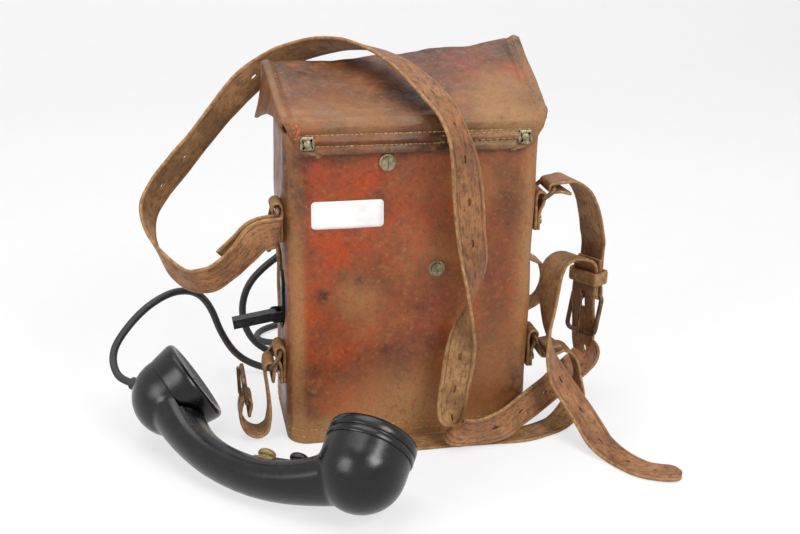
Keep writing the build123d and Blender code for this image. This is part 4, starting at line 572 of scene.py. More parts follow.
rubbed = put(tree, "TexNoise", Vector=place, Scale=1000 / 3.0, Detail=8, Roughness=0.78)
rubbed = put(tree, "MapRange", s0=rubbed, s1=0.42, s2=0.60)
rubbed = put(tree, "Math", TIMES, s0=put(tree, "Attribute", {"attribute_name": "worn"}, "Fac"), s1=rubbed)
colour = put(tree, "Mix", COLOURS, 2, s0=rubbed, s6=colour, s7="8a744c")
polish = put(tree, "MapRange", s0=haze, s1=0.35, s2=0.7, s3=0.17, s4=0.33)
dulled = put(tree, "MapRange", s0=scratch, s1=0.55, s2=0.75, s4=0.25)
flow = put(tree, "TexNoise", Vector=place, Scale=1000 / 30, Detail=3, Roughness=0.55)
relief = put(tree, "Bump", Height=scratch, Distance=0.04 / 1000)
relief = put(tree, "Bump", Height=flow, Distance=0.2 / 1000, Normal=relief)
shader = put(tree, "BsdfPrincipled", Base_Color=colour, Normal=relief, Specular_IOR_Level=0.42,
             Roughness=put(tree, "Math", PLUS, s0=polish, s1=dulled))
put(tree, "OutputMaterial", Surface=shader)
node_finish["moulded_black"] = phenolic

slots = {part["node"]: part["material_slot"] for part in frame["record"]["subparts"]}
for name, node in frame["nodes"].items():
    if slots[name] in node_finish:
        node.data.materials.clear()
        node.data.materials.append(node_finish[slots[name]])

# ---------------------------------------------------------------- lid
# One piece of brown leather: a front lip, a sloping top and a short back panel. Its edges
# are rolled and stitched, two padded ridges run along the lip, and an ear hangs at each side.
# The same hide as the case, browner and darker from handling, with tan edges.
lid_leather = leather("brown_lid_leather", ((0.30, "3a2012"), (0.44, "62371f"), (0.57, "7d4a29"),
                                            (0.75, "996a3f")), "a03a16", "20130c", "ab8352", (0.30, 0.54))
RIDGE = ((-101.5, 280), (-50.75, 280), (0, 284.5), (50.75, 289.5), (101.5, 295))
LID_FRONT, LID_BACK, FOLD_Z, LIP_Z = -51.9, 51.9, 253, 229


def ridge_height(x):
    """Height of the back ridge, which droops towards the left."""
    for (x0, z0), (x1, z1) in zip(RIDGE, RIDGE[1:]):
        if x <= x1:
            part = max(0.0, (x - x0) / (x1 - x0))
            return z0 + (z1 - z0) * part * part * (3 - 2 * part)
    return RIDGE[-1][1]


def lid_place(along, share):
    """Place on the lid's outer face: along 0 lip edge, 1 fold, 2 ridge, 3 back edge; share -1 to 1."""
    half = 84 + 13 * min(1, along) if along < 1 else 97 + 4.5 * min(1, along - 1)
    if along < 0.22:
        half -= 7 * (1 - sqrt(1 - (1 - along / 0.22) ** 2))
    x = share * half
    top = ridge_height(x)
    corners = [(LID_FRONT, LIP_Z), (LID_FRONT, FOLD_Z), (LID_BACK, top), (LID_BACK, 238.3)]
    section = min(2, int(along))
    (y0, z0), (y1, z1) = corners[section:section + 2]
    part = along - section
    y, z = y0 + (y1 - y0) * part, z0 + (z1 - z0) * part
    for corner, reach in ((1, 0.30), (2, 0.10)):
        before, after = corners[corner - 1], corners[corner + 1]
        reach_in = 8.5 / hypot(corners[corner][0] - before[0], corners[corner][1] - before[1])
        reach_out = 8.5 / hypot(after[0] - corners[corner][0], after[1] - corners[corner][1])
        if corner - reach_in < along < corner + reach_out:
            turn = (along - corner + reach_in) / (reach_in + reach_out)
            start = [corners[corner][k] + (before[k] - corners[corner][k]) * reach_in for k in (0, 1)]
            end = [corners[corner][k] + (after[k] - corners[corner][k]) * reach_out for k in (0, 1)]
            y, z = (start[k] * (1 - turn) ** 2 + 2 * corners[corner][k] * turn * (1 - turn)
                    + end[k] * turn ** 2 for k in (0, 1))
    return Vector((x, y, z)), half


# Ridges and creases across the lip: height, level and width.
LIP_RIDGES = ((1.2, 231.6, 1.9), (2.0, 239.2, 2.3), (1.2, 247.6, 2.6), (-0.7, 235.2, 0.9), (-0.7, 243.4, 0.9))


def lid_relief(along, share, half):
    """Height of rolled edges, ridges, sag and creases above the plain lid."""
    x = share * half
    rim = half - abs(x)
    high = 1.9 * exp(-((rim - 4) / 3.6) ** 2) - 0.7 * exp(-((rim - 9.5) / 1.8) ** 2)
    if along < 1:
        z = LIP_Z + (FOLD_Z - LIP_Z) * along
        inside = min(1.0, max(0.0, rim - 3) / 8)
        high = high * 0.6 + inside * sum(rise * exp(-((z - centre) / wide) ** 2)
                                         for rise, centre, wide in LIP_RIDGES)
    if 1 < along < 2:
        high -= 3.2 * sin(pi * (along - 1)) * max(0.0, 1 - share * share)
        high -= 1.1 * exp(-((along - 1.13) / 0.035) ** 2) * (0.5 + 0.5 * noise.noise(Vector((x / 20, 3, 0))))
    if along > 2:
        high += 0.8 * exp(-((along - 2.8) / 0.1) ** 2)
    slow = noise.noise(Vector((x / 33, along * 3.2, 5)))
    quick = noise.noise(Vector((x / 11, along * 9, 9)))
    return high + (1.3 * slow + 0.55 * quick)


rows = [0.0, 0.04, 0.09] + [0.15 + 0.85 * step / 24 for step in range(24)]
rows += [1 + step / 60 for step in range(60)] + [2 + step / 22 for step in range(23)]
lid_rings = []
for along in rows:
    ring = []
    for column in range(121):
        share = -1 + column / 60
        point, half = lid_place(along, share)
        ahead_point, unused = lid_place(min(3, along + 0.02), share)
        behind_point, unused = lid_place(max(0, along - 0.02), share)
        run = ahead_point - behind_point
        out = Vector((0, -run.z, run.y)).normalized()
        ring.append(point + out * lid_relief(along, share, half))
    lid_rings.append(ring)
lid = skin("lid_cover_dressed", lid_rings, closed=False, materials=[lid_leather, flesh, cut_edge])


def thicken(piece, thickness, inward):
    """Gives a sheet its thickness on inward's side; its inside gets material 1, its rim material 2."""
    facing = sum(polygon.normal.dot(polygon.center - Vector(inward) / 1000)
                 for polygon in piece.data.polygons)
    if facing < 0:
        piece.data.flip_normals()
    change = piece.modifiers.new("thickness", "SOLIDIFY")
    change.thickness, change.offset = thickness / 1000, -1
    change.material_offset, change.material_offset_rim = 1, 2


thicken(lid, 3.0, (0, 0, 200))
paint(lid, "red", lambda p: min(1.0, 0.12 + patches(p, (
    (88, 5, 275, 13, 40, 1.0), (52, 25, 280, 16, 30, 0.6), (-52, 12, 270, 22, 30, 0.45),
    (30, -30, 258, 14, 20, 0.4), (-75, -52, 242, 10, 8, 0.8)))))
paint(lid, "dark", lambda p: min(1.0, 0.15 + patches(p, (
    (4, -14, 268, 26, 44, 0.95), (-72, 34, 280, 30, 40, 0.75), (96, 36, 290, 8, 50, 0.8),
    (20, 46, 288, 60, 12, 0.7),
    (0, -52, 230, 90, 4, 0.5), (20, -52, 240, 26, 12, 0.6)))))
paint(lid, "worn", lambda p: min(1.0, 0.55 * exp(-((LIP_Z - p.z) / 4) ** 2)
                                 + 0.75 * exp(-((abs(p.x) - 99) / 5) ** 2)
                                 + patches(p, ((70, -10, 262, 24, 30, 0.75), (-45, -42, 254, 40, 13, 0.7),
                                               (-50, 20, 270, 26, 14, 0.45), (75, -50, 245, 30, 20, 0.8),
                                               (60, -48, 252, 40, 8, 0.6)))))
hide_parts("lid_cover")
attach(lid, "lid")

for side, ear_name in ((-1, "left_ear"), (1, "right_ear")):
    ear_rings = []
    for step in range(27):
        part = step / 26
        y = -44 + 91 * part
        along = 1 + (y - LID_FRONT) / (LID_BACK - LID_FRONT)
        edge, half = lid_place(along, side * 0.985)
        flare = 1.5 + 6.5 * part ** 1.8
        low = 250 - 13.5 * part ** 1.5 + 3.5 * sin(pi * part)
        ring = []
        for level_step in range(9):
            drop = level_step / 8
            bow = noise.noise(Vector((side * 4, part * 4, drop * 2))) * 1.6 * drop
            ring.append((edge.x + side * (flare * drop ** 1.3 + bow), y, edge.z - 1 + (low - edge.z) * drop))
        ear_rings.append(ring)
    ear = skin(ear_name, ear_rings, closed=False, materials=[lid_leather, flesh, cut_edge])
    thicken(ear, 2.6, (0, 0, 245))
    paint(ear, "red", lambda p: 0.35)
    paint(ear, "dark", lambda p: 0.45)
    paint(ear, "worn", lambda p: min(1.0, 0.4 + 0.5 * exp(-((p.z - 238) / 7) ** 2)))
    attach(ear, "lid")


def lid_seam(name, along_from, along_to, share_from, share_to, steps, twine, **more):
    """Row of stitches over the lid between two places."""
    line = []
    for step in range(steps + 1):
        part = step / steps
        along = along_from + (along_to - along_from) * part
        share = share_from + (share_to - share_from) * part
        point, half = lid_place(along, share)
        run = lid_place(min(3, along + 0.02), share)[0] - lid_place(max(0, along - 0.02), share)[0]
        out = Vector((0, -run.z, run.y)).normalized()
        line.append((point + out * (lid_relief(along, share, half) + 0.05), out))
    stitches(name, line, twine, body="lid", slot="lid_leather", **more)


# Frayed thread with its red wax left on: dull orange and matt.
red_thread, tree, place = material("red_waxed_thread")
grime = put(tree, "TexNoise", Vector=place, Scale=1000 / 3, Detail=6, Roughness=0.7)
shine = put(tree, "TexNoise", Vector=place, Scale=1000, Detail=4, Roughness=0.55)
colour = put(tree, "ValToRGB", stops=((0.35, "7a3517"), (0.5, "b25a2c"), (0.66, "d08a55")), Fac=grime)
rough = put(tree, "MapRange", s0=shine, s1=0.3, s2=0.7, s3=0.6, s4=0.8)
put(tree, "OutputMaterial", Surface=put(tree, "BsdfPrincipled", Base_Color=colour, Roughness=rough))
lid_seam("lip_stitches_low", 0.26, 0.26, -0.86, 0.88, 90, thread, spacing=3.5, length=3.0, radius=0.62)
lid_seam("lip_stitches_high", 0.60, 0.60, -0.86, 0.90, 90, thread, spacing=3.5, length=3.0, radius=0.62)
for offset in (0.33, 0.53):
    lid_seam("lip_lacing_" + str(int(offset * 100)), offset - 0.035, offset + 0.035, 0.2, 0.92, 90, thread,
             spacing=5.0, length=3.2, radius=0.5)
lid_seam("left_edge_stitches", 1.05, 1.95, -0.925, -0.928, 60, cut_edge, spacing=5.0, length=2.2, radius=0.4)
lid_seam("right_edge_stitches", 1.05, 1.95, 0.925, 0.928, 60, cut_edge, spacing=5.0, length=2.2, radius=0.4)
for strand in range(20):
    drift = [noise.noise(Vector((strand * 1.7 + 0.37, shift + 0.21, 2.4))) for shift in (1, 4, 7, 9)]
    start, share = 0.72 + 0.34 * drift[0], -0.93 + 0.075 * drift[1]
    lid_seam("torn_thread_" + str(strand), start, start + 0.16 * drift[2], share, share + 0.05 * drift[3],
             5, red_thread, spacing=2.0, length=2.6, radius=0.42)

hinge_rings = []
for inset, y in ((1.2, 48.0), (0.0, 48.8), (0.0, 50.4), (1.2, 51.2)):
    hinge_rings.append([(point.x, y + swell(point.x, 48, point.y + 230, 0.35), point.y + 230)
                        for point, out, corner in round_outline(176, 16, 2.5, -inset)])
hinge = skin("hinge_strip_dressed", hinge_rings, ends=True, materials=[lid_leather])
for name, amount in (("red", 0.3), ("dark", 0.4), ("worn", 0.3)):
    paint(hinge, name, lambda p, amount=amount: amount)
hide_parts("lid_hinge_strip")
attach(hinge, "case")
for z, row in ((225, "a"), (234, "b")):
    seam = [(Vector((x, 51.3, z)), Vector((0, 1, 0))) for x in range(-84, 85, 2)]
    stitches("hinge_stitches_" + row, seam, thread)

# ---------------------------------------------------------------- snap fasteners
# A square brass plate with a domed button is riveted near each end of the lip.


def turned(name, profile, place_at, axis, around, materials):
    """Turned piece from (radius, height) points, stood at a place along an axis."""
    axis = Vector(axis).normalized()
    side = axis.orthogonal().normalized()
    other = axis.cross(side)
    rings = [[Vector(place_at) + axis * height
              + (side * cos(turn) + other * sin(turn)) * max(radius, 0.01)
              for turn in (2 * pi * step / around for step in range(around))]
             for radius, height in profile]
    return skin(name, rings, ends=True, materials=materials)


brass = node_finish["worn_brass"]
for x, name in ((-79, "left_snap"), (79, "right_snap")):
    rings = []
    for inset, y in ((0.0, -51.0), (0.0, -53.7), (0.5, -54.1), (2.4, -54.2)):
        rings.append([(x + point.x, y, 238 + point.y)
                      for point, out, corner in round_outline(10.4, 10.4, 1.4, -inset)])
    plate = skin(name + "_plate", rings, ends=True, materials=[brass])
    button = turned(name + "_button", ((3.0, 0), (3.0, 0.5), (2.6, 1.1), (1.7, 1.55), (0.6, 1.75), (0, 1.8)),
                    (x, -54.0, 238), (0, -1, 0), 32, [brass])
    for piece in (plate, button):
        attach(piece, "lid")
    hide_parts("lid_snap_sockets")

# ---------------------------------------------------------------- straps
# Brown harness leather, 24 mm wide: the long carrying strap, the short buckle strap, the
# waist straps and the side loop. Each has a grain side, a rough flesh side and rubbed edges.


def strap_leather_side(name, stops, crack, rough):
    """Strap leather with cracks across it and two creased lines near its edges."""
    made, tree, place = material(name)
    along = put(tree, "UVMap", {"uv_map": "along_across"})
    across = put(tree, "SeparateXYZ", Vector=along).node.outputs[1]
    cloud = put(tree, "TexNoise", Vector=place, Scale=1000 / 30, Detail=8, Roughness=0.65)
    fleck = put(tree, "TexNoise", Vector=place, Scale=1000 / 4, Detail=8, Roughness=0.75)
    colour = put(tree, "ValToRGB", stops=stops, Fac=cloud)
    specks = put(tree, "MapRange", s0=fleck, s1=0.48, s2=0.66, s4=0.6)
    colour = put(tree, "Mix", COLOURS, 2, s0=specks, s6=colour, s7=crack)

    cracks = put(tree, "Mapping", Vector=along, Scale=(0.35, 1.6, 1))
    cracks = put(tree, "TexNoise", Vector=cracks, Scale=1000 / 3.2, Detail=9, Roughness=0.72)
    cracks = put(tree, "MapRange", s0=cracks, s1=0.54, s2=0.60)
    shade = put(tree, "Math", TIMES, s0=cracks, s1=0.4)
    colour = put(tree, "Mix", COLOURS, 2, s0=shade, s6=colour, s7=crack)

    centre = put(tree, "Math", {"operation": "ABSOLUTE"}, s0=across)
    line = put(tree, "Math", {"operation": "SUBTRACT"}, s0=centre, s1=8.8 / 1000)
    line = put(tree, "Math", {"operation": "ABSOLUTE"}, s0=line)
    line = put(tree, "MapRange", s0=line, s2=0.6 / 1000, s3=1.0, s4=0.0)
    shade = put(tree, "Math", TIMES, s0=line, s1=0.55)
    colour = put(tree, "Mix", COLOURS, 2, s0=shade, s6=colour, s7=crack)

    edge = put(tree, "MapRange", s0=centre, s1=9.8 / 1000, s2=12.2 / 1000)
    rubbed = put(tree, "MapRange", s0=fleck, s1=0.35, s2=0.6, s3=0.2, s4=0.7)
    rubbed = put(tree, "Math", TIMES, s0=edge, s1=rubbed)
    colour = put(tree, "Mix", COLOURS, 2, s0=rubbed, s6=colour, s7="b08a5c")

    shine = put(tree, "TexNoise", Vector=place, Scale=1000 / 14, Detail=6, Roughness=0.55)
    shine = put(tree, "MapRange", s0=shine, s1=0.35, s2=0.65, s3=rough[0], s4=rough[1])
    pores = put(tree, "TexVoronoi", Vector=place, Scale=1000 / 1.2)
    relief = put(tree, "Bump", Height=cloud, Distance=0.5 / 1000)
    relief = put(tree, "Bump", Height=cracks, Distance=-0.25 / 1000, Normal=relief)
    relief = put(tree, "Bump", Height=line, Distance=-0.3 / 1000, Normal=relief)
    relief = put(tree, "Bump", Height=pores, Distance=0.08 / 1000, Normal=relief)
    relief = put(tree, "Bump", Height=fleck, Distance=0.2 / 1000, Normal=relief)
    shader = put(tree, "BsdfPrincipled", Base_Color=colour, Roughness=shine, Normal=relief)
    put(tree, "OutputMaterial", Surface=shader)
    return made


# Harness leather, oiled on its grain side: brown with dark cracks and rubbed tan edges, half matt.
strap_grain = strap_leather_side("strap_leather_grain", ((0.3, "5f3a20"), (0.46, "8a5831"), (0.6, "a26d41"),
                                                         (0.78, "b98a58")), "3a2416", (0.42, 0.66))
# Its flesh side is paler, dry and matt.
strap_flesh = strap_leather_side("strap_leather_flesh", ((0.3, "6b4a2b"), (0.5, "946a3f"), (0.7, "b48c59")),
                                 "4a301c", (0.68, 0.88))


def smooth(values, runs, index, part):
    """Value between entries index and index + 1 of a smooth curve; runs are the spacings."""
    def slope(entry):
        if entry == 0:
            return (values[1] - values[0]) / runs[0]
        if entry == len(runs):
            return (values[-1] - values[-2]) / runs[-1]
        before = (values[entry] - values[entry - 1]) / runs[entry - 1]
        after = (values[entry + 1] - values[entry]) / runs[entry]
        share = runs[entry - 1] / (runs[entry - 1] + runs[entry])
        return before * (1 - share) + after * share
    run = runs[index]
    return (values[index] * (1 - part ** 2 * (3 - 2 * part)) + values[index + 1] * part ** 2 * (3 - 2 * part)
            + slope(index) * (run * part * (1 - part) ** 2)
            - slope(index + 1) * (run * part ** 2 * (1 - part)))


def strap_sections(stations, pitch=2.2):
    """(run so far, middle, across, face) along a strap of (point, across) stations."""
    points = [Vector(point) for point, across in stations]
    acrosses = [Vector(across).normalized() for point, across in stations]
    runs = [(after - before).length for before, after in zip(points, points[1:])]
    middles, wides = [], []
    for index, run in enumerate(runs):
        steps = max(3, round(run / pitch))
        for step in range(steps):
            middles.append(smooth(points, runs, index, step / steps))
            wides.append(smooth(acrosses, runs, index, step / steps))
    middles.append(points[-1])
    wides.append(acrosses[-1])
    sections, gone = [], 0.0
    for index, (middle, wide) in enumerate(zip(middles, wides)):
        along = (middles[min(index + 1, len(middles) - 1)] - middles[max(index - 1, 0)]).normalized()
        wide = (wide - along * wide.dot(along)).normalized()
        gone += (middle - middles[index - 1]).length if index else 0.0
        sections.append((gone, middle, wide, wide.cross(along)))
    return sections


def ribbon(name, stations, width, thickness, materials, holes=(), tip=None, hole=(3.2, 1.25)):
    """Leather strap with rounded edges along its stations; holes are (run, across) places of oval slots."""
    sections = strap_sections(stations)
    edge, half = thickness / 2, thickness / 2
    profile = [(-width / 2 + edge + (width - thickness) * step / 10, 1) for step in range(11)]
    section_points = [(across, half) for across, unused in profile]
    section_points += [(width / 2 - edge + edge * cos(radians(turn)), half * sin(radians(turn)))
                       for turn in (60, 30, 0, -30, -60)]
    section_points += [(across, -half) for across, unused in reversed(profile)]
    section_points += [(-width / 2 + edge + edge * cos(radians(turn)), half * sin(radians(turn)))
                       for turn in (240, 210, 180, 150, 120)]
    rings, flat = [], []
    total = sections[-1][0]
    for run, middle, wide, face in sections:
        narrow = 1.0
        if tip and total - run < tip:
            narrow = max(0.12, sqrt(max(0.0, 1 - ((tip - (total - run)) / tip) ** 2.4)))
        wave = 0.35 * noise.noise(Vector((run / 16, width, 0)))
        rings.append([middle + wide * (across * narrow + (wave if across > 0 else -wave * 0.6))
                      + face * (lift * (1 + 0.12 * noise.noise(Vector((run / 9, across / 9, width)))))
                      for across, lift in section_points])
        flat.append([(run / 1000, across * narrow / 1000) for across, lift in section_points])
    count = len(section_points)
    piece = skin(name, rings, ends=True, materials=materials)
    layer = piece.data.uv_layers.new(name="along_across")
    for polygon in piece.data.polygons:
        columns = [index % count for index in polygon.vertices]
        if max(columns) - min(columns) <= 1:
            low = min(columns)
            polygon.material_index = 0 if low < 10 else (2 if low < 16 else (1 if low < 26 else 2))
        else:
            polygon.material_index = 2
        for corner, index in zip(polygon.loop_indices, polygon.vertices):
            layer.data[corner].uv = flat[index // count][index % count]
    if holes:
        cutters = []
        for run_at, across_at in holes:
            gone, middle, wide, face = min(sections, key=lambda section: abs(section[0] - run_at))
            along = face.cross(wide)
            middle = middle + wide * across_at
            long_half, wide_half = hole
            cutters.append([[middle + face * lift + along * (long_half * cos(2 * pi * step / 16))
                             + wide * (wide_half * sin(2 * pi * step / 16)) for step in range(16)]
                            for lift in (-thickness, thickness)])
        meshes = [skin(name + "_cutter", rings_of, ends=True, materials=[cut_edge]) for rings_of in cutters]
        joined = bmesh.new()
        for mesh_object in meshes:
            joined.from_mesh(mesh_object.data)
        first = meshes[0]
        joined.to_mesh(first.data)
        joined.free()
        for mesh_object in meshes[1:]:
            bpy.data.objects.remove(mesh_object)
        cut(piece, [first])
    return piece


def bar_turn(x, y, z, radius, start, end, steps, across=(0.0, -1.0, 0.0)):
    """Stations round a bar along Y, between two angles in degrees from +X towards +Z."""
    return [((x + radius * cos(radians(turn)), y, z + radius * sin(radians(turn))), across)
            for turn in (start + (end - start) * step / steps for step in range(steps + 1))]


TAB_Y, WIRE, EYE, TAB_T = -27.0, 1.75, 2.15, 2.4
EYE_X = 95 + EYE + TAB_T
PLACES = {"upper_left": (-1, 187.0, 13.0, 31.0), "upper_right": (1, 187.0, 128.0, 11.0),
          "lower_left": (-1, 74.0, 35.0, 14.0), "lower_right": (1, 74.0, 32.0, 18.0)}
strap_sides = [strap_grain, strap_flesh, cut_edge]


def table(rows):
    """Stations (point, across) from rows of six numbers."""
    return [(row[:3], row[3:]) for row in rows]


BUCKLE_AT = Vector((166.0, 24.0, 84.0))
LAP_W, LAP_OUT = Vector((-0.52, 0.854, 0)), Vector((-0.854, -0.52, 0))


def lap_point(across, down, out):
    """Place at the strap buckle: along its bars, down from its hinge bar, outwards."""
    return BUCKLE_AT + LAP_W * across - Vector((0, 0, down)) + LAP_OUT * out


bar = Vector((-103.2, TAB_Y - 15.25, 171.2))
turn_r = WIRE + 0.6 + 1.3
carrying_route = table([
    (-136, -36.6, 148.5, -0.1, -0.1, 1), (-124, -37.2, 160, -0.1, -0.1, 1), (-113, -37.9, 169.5, 0, 0, 1)])
carrying_route += [(bar + Vector((turn_r * a, turn_r * b, 0)), (0.22, 0, 0.97))
                   for a, b in ((0, 1), (0.71, 0.71), (1, 0), (0.71, -0.71), (0, -1))]
carrying_route += table([
    (-113, -46, 169.6, 0, -0.1, 1), (-124, -44.6, 158, -0.1, -0.3, 0.9), (-136, -42.8, 146, -0.1, -0.4, 0.9),
    (-149, -40, 137, 0, -0.4, 0.9), (-162, -32, 133, 0.1, -0.6, 0.8), (-175, -20, 138, 0.2, -0.8, 0.6),
    (-185, -5, 148, 0, -0.9, 0.4), (-191, 8, 160, -0.3, -0.85, 0.5), (-191, 19, 173, -0.5, -0.6, 0.6),
    (-183, 27, 186, -0.5, -0.45, 0.75), (-168, 36, 202, -0.5, -0.4, 0.75), (-150, 44, 221, -0.5, -0.5, 0.7),
    (-130, 52, 243, -0.6, -0.4, 0.65), (-113, 60, 259, -0.5, -0.15, 0.85), (-95, 66, 271, -0.3, -0.3, 0.9),
    (-75, 66, 281, -0.25, -0.55, 0.8), (-53, 58, 288, -0.25, -0.7, 0.65), (-37, 46, 291, -0.2, -0.9, 0.45),
    (-21, 27, 290.5, -0.25, -0.95, 0.15), (-7, 8, 285.5, -0.4, -0.9, 0), (5, -16, 277, -0.5, -0.85, -0.1),
    (13, -38, 268.5, -0.6, -0.8, -0.15), (20, -58, 258, -0.65, -0.75, -0.1), (25, -69, 245, -0.75, -0.6, 0),
    (29, -73, 228, -0.9, -0.4, 0.1), (33, -72, 201, -1, -0.15, 0), (37, -70, 169, -1, -0.25, 0.1),
    (40, -70, 147, -0.85, -0.4, 0.3), (39.5, -71, 127, -0.5, -0.8, 0.3), (36, -71, 106, 0.15, -0.95, 0.1),
    (33, -69, 84, 0.75, -0.6, -0.1), (30.5, -68, 62, 0.95, -0.2, -0.3), (27.5, -69, 42, 0.9, 0, -0.45),
    (26, -72, 25.5, 0.7, 0.1, -0.7), (29, -76.5, 17, 0, -0.25, -1), (38, -77.5, 15.2, 0, 0.1, -1),
    (50, -77, 15.4, 0, 0.1, -1), (66, -74, 18, 0, -0.2, -0.97), (83, -62, 21.5, 0, -0.3, -0.95),
    (99, -48, 23, 0.1, -0.3, -0.95), (114, -34, 24, 0.15, -0.3, -0.95), (128, -20, 25.5, 0.2, -0.35, -0.9),
    (142, -6, 26.5, 0.25, -0.4, -0.87), (156, 7, 28, 0.45, -0.55, -0.7), (165, 17, 31.5, 0.55, -0.75, -0.4)])
carrying_route += [(lap_point(0, down, out), -LAP_W) for down, out in
                   ((43, 2.6), (38, 3), (32, 3.4), (20, 4.6), (10, 5.8), (0, 6.6), (-10, 6), (-20, 5.2))]
carrying_route += table([
    (158, 18.6, 113, 0.6, -0.8, 0), (149.5, 13.5, 119.5, 0.5, -0.85, 0), (138.5, 8, 122, 0.45, -0.9, 0),
    (129, 2.5, 119.5, 0.4, -0.9, 0), (122.5, -6, 112.5, 0.3, -0.95, 0), (117.5, -18, 103, 0.15, -1, 0),
    (113, -32, 91, 0, -1, 0), (109.6, -45, 77, -0.25, -0.95, 0.1), (109.6, -54, 61, -0.55, -0.8, 0.1),
    (115.2, -60, 45.1, -0.85, -0.5, 0.1), (122.6, -66, 33.5, -0.9, -0.4, 0.1),
    (128.5, -73, 24.5, -0.93, -0.35, 0.05),
    (133.6, -83, 15.5, -0.95, -0.35, 0), (138, -95, 7.6, -0.95, -0.33, 0), (146, -108, 2.2, -0.92, -0.4, 0),
    (152, -121, 1.9, -0.85, -0.5, 0), (160, -132, 1.9, -0.65, -0.75, 0), (171, -138, 1.9, -0.3, -0.95, 0),
    (185, -140.5, 1.9, -0.15, -0.98, 0)])
PUNCHED = (224, 253, 335, 388, 485, 519, 555, 579, 611, 642, 667, 732, 760, 784, 824, 853, 891, 973,
           1192, 1220, 1250, 1278, 1302)


def lap_box(down, across, out):
    """Cutter through a strap at the buckle, as a box in the lap's own directions."""
    rings = [[lap_point(a, d, side) for a, d in ((-across, down[0]), (across, down[0]),
                                                 (across, down[1]), (-across, down[1]))] for side in out]
    return skin("lap_cutter", rings, ends=True, materials=[cut_edge])


carrying = ribbon("carrying_strap_dressed", carrying_route, 24, 2.6, strap_sides,
                  [(run, 0) for run in PUNCHED], tip=11)
cut(carrying, [lap_box((-3.5, 12.0), 2.4, (3.5, 11.0))])
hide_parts("carrying_strap")
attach(carrying, "case")

ring_swing = radians(128)
ring_x, ring_z = EYE_X + 11 * sin(ring_swing), 187 - 11 * cos(ring_swing)
turn_r = WIRE + 0.3 + 1.2
buckle_route = [((ring_x + 13, TAB_Y + 1, ring_z - 5), (0, -1, 0)),
                ((ring_x + 5, TAB_Y, ring_z - turn_r + 0.2), (0, -1, 0))]
buckle_route += bar_turn(ring_x, TAB_Y, ring_z, turn_r, 270, 90, 6)
buckle_route += [((ring_x + 8, TAB_Y + 1, ring_z + turn_r + 0.6), (0, -1, 0))]
buckle_route += table([(124, -22, 197, 0.15, -1, 0), (135.5, -17, 189, 0.3, -0.95, 0.05),
                       (146, -8, 175, 0.4, -0.9, 0), (154.5, 3, 158, 0.48, -0.88, 0),
                       (161.5, 14, 141, 0.52, -0.854, 0)])
buckle_route += [(lap_point(0, down, out), -LAP_W) for down, out in
                 ((-40, -1.6), (-30, -1.4), (-18, -1.4), (-7, -2.5), (0, -turn_r),
                  (turn_r * 0.71, -turn_r * 0.71),
                  (turn_r, 0), (turn_r * 0.71, turn_r * 0.71), (0, turn_r), (-7, 3), (-18, 1.5), (-31, 1.4))]
buckle = ribbon("buckle_strap_dressed", buckle_route, 24, 2.4, strap_sides)
cut(buckle, [lap_box((-5.0, 6.0), 2.4, (-5.5, 5.5))])
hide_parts("buckle_strap")
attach(buckle, "case")

keeper_rings = []
for index, (outer, inner_at) in enumerate(zip(round_outline(30, 17, 2.8), round_outline(25.2, 12.6, 1.4))):
    ring = []
    for share, level_at in ((0, -5.5), (1, -5.5), (1, 5.5), (0, 5.5)):
        point = outer[0].lerp(inner_at[0], share)
        ring.append(lap_point(point.x, -15.5 - level_at, 2.0 + point.y))
    softened = []
    for a in range(4):
        here, after = ring[a], ring[(a + 1) % 4]
        softened += [here.lerp(after, 0.16), here.lerp(after, 0.84)]
    keeper_rings.append(softened)
keeper = skin("strap_keeper_dressed", keeper_rings, loop=True, materials=[cut_edge])
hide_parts("strap_keeper")
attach(keeper, "case")

# ---------------------------------------------------------------- waist straps and side loop
# Two short straps of the same leather, 22 mm wide, hang in the lower rings: the long one
# falls to the floor in front, the short one carries a small buckle at the left.
turn_r = WIRE + 0.3 + 1.2
low_swing = radians(32)
low_x, low_z = EYE_X + 18 * sin(low_swing), 74 - 18 * cos(low_swing)
waist_route = [((low_x + 12, TAB_Y + 1, low_z + 4.4), (0, -1, 0)),
               ((low_x + 5, TAB_Y, low_z + 3.9), (0, -1, 0))]
waist_route += bar_turn(low_x, TAB_Y, low_z, turn_r, 90, 270, 6)
waist_route += [((low_x + 7, TAB_Y, low_z - turn_r + 0.6), (0, -1, 0))]
waist_route += table([(124, -22, 56.5, 0, -1, 0), (133, -20, 54, 0, -1, 0), (139.6, -21.8, 45, 0, -1, 0),
                      (142.4, -26.2, 31, -0.1, -1, 0), (139, -32, 16, 0.3, -0.95, 0),
                      (130, -41, 6.5, 0.6, -0.8, 0), (118, -50, 2.4, 0.5, -0.85, 0),
                      (103, -57, 1.6, 0.3, -0.95, 0), (85, -62.5, 1.5, 0, -1, 0),
                      (60, -62, 1.5, 0, -1, 0), (35, -61.5, 1.5, 0, -1, 0), (10, -61.5, 1.5, 0, -1, 0),
                      (-14, -62, 1.5, 0, -1, 0)])
waist = ribbon("waist_strap_dressed", waist_route, 22, 2.4, strap_sides,
               [(run, 0) for run in (150, 172, 194, 216, 238)], tip=10)
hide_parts("waist_strap")
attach(waist, "case")

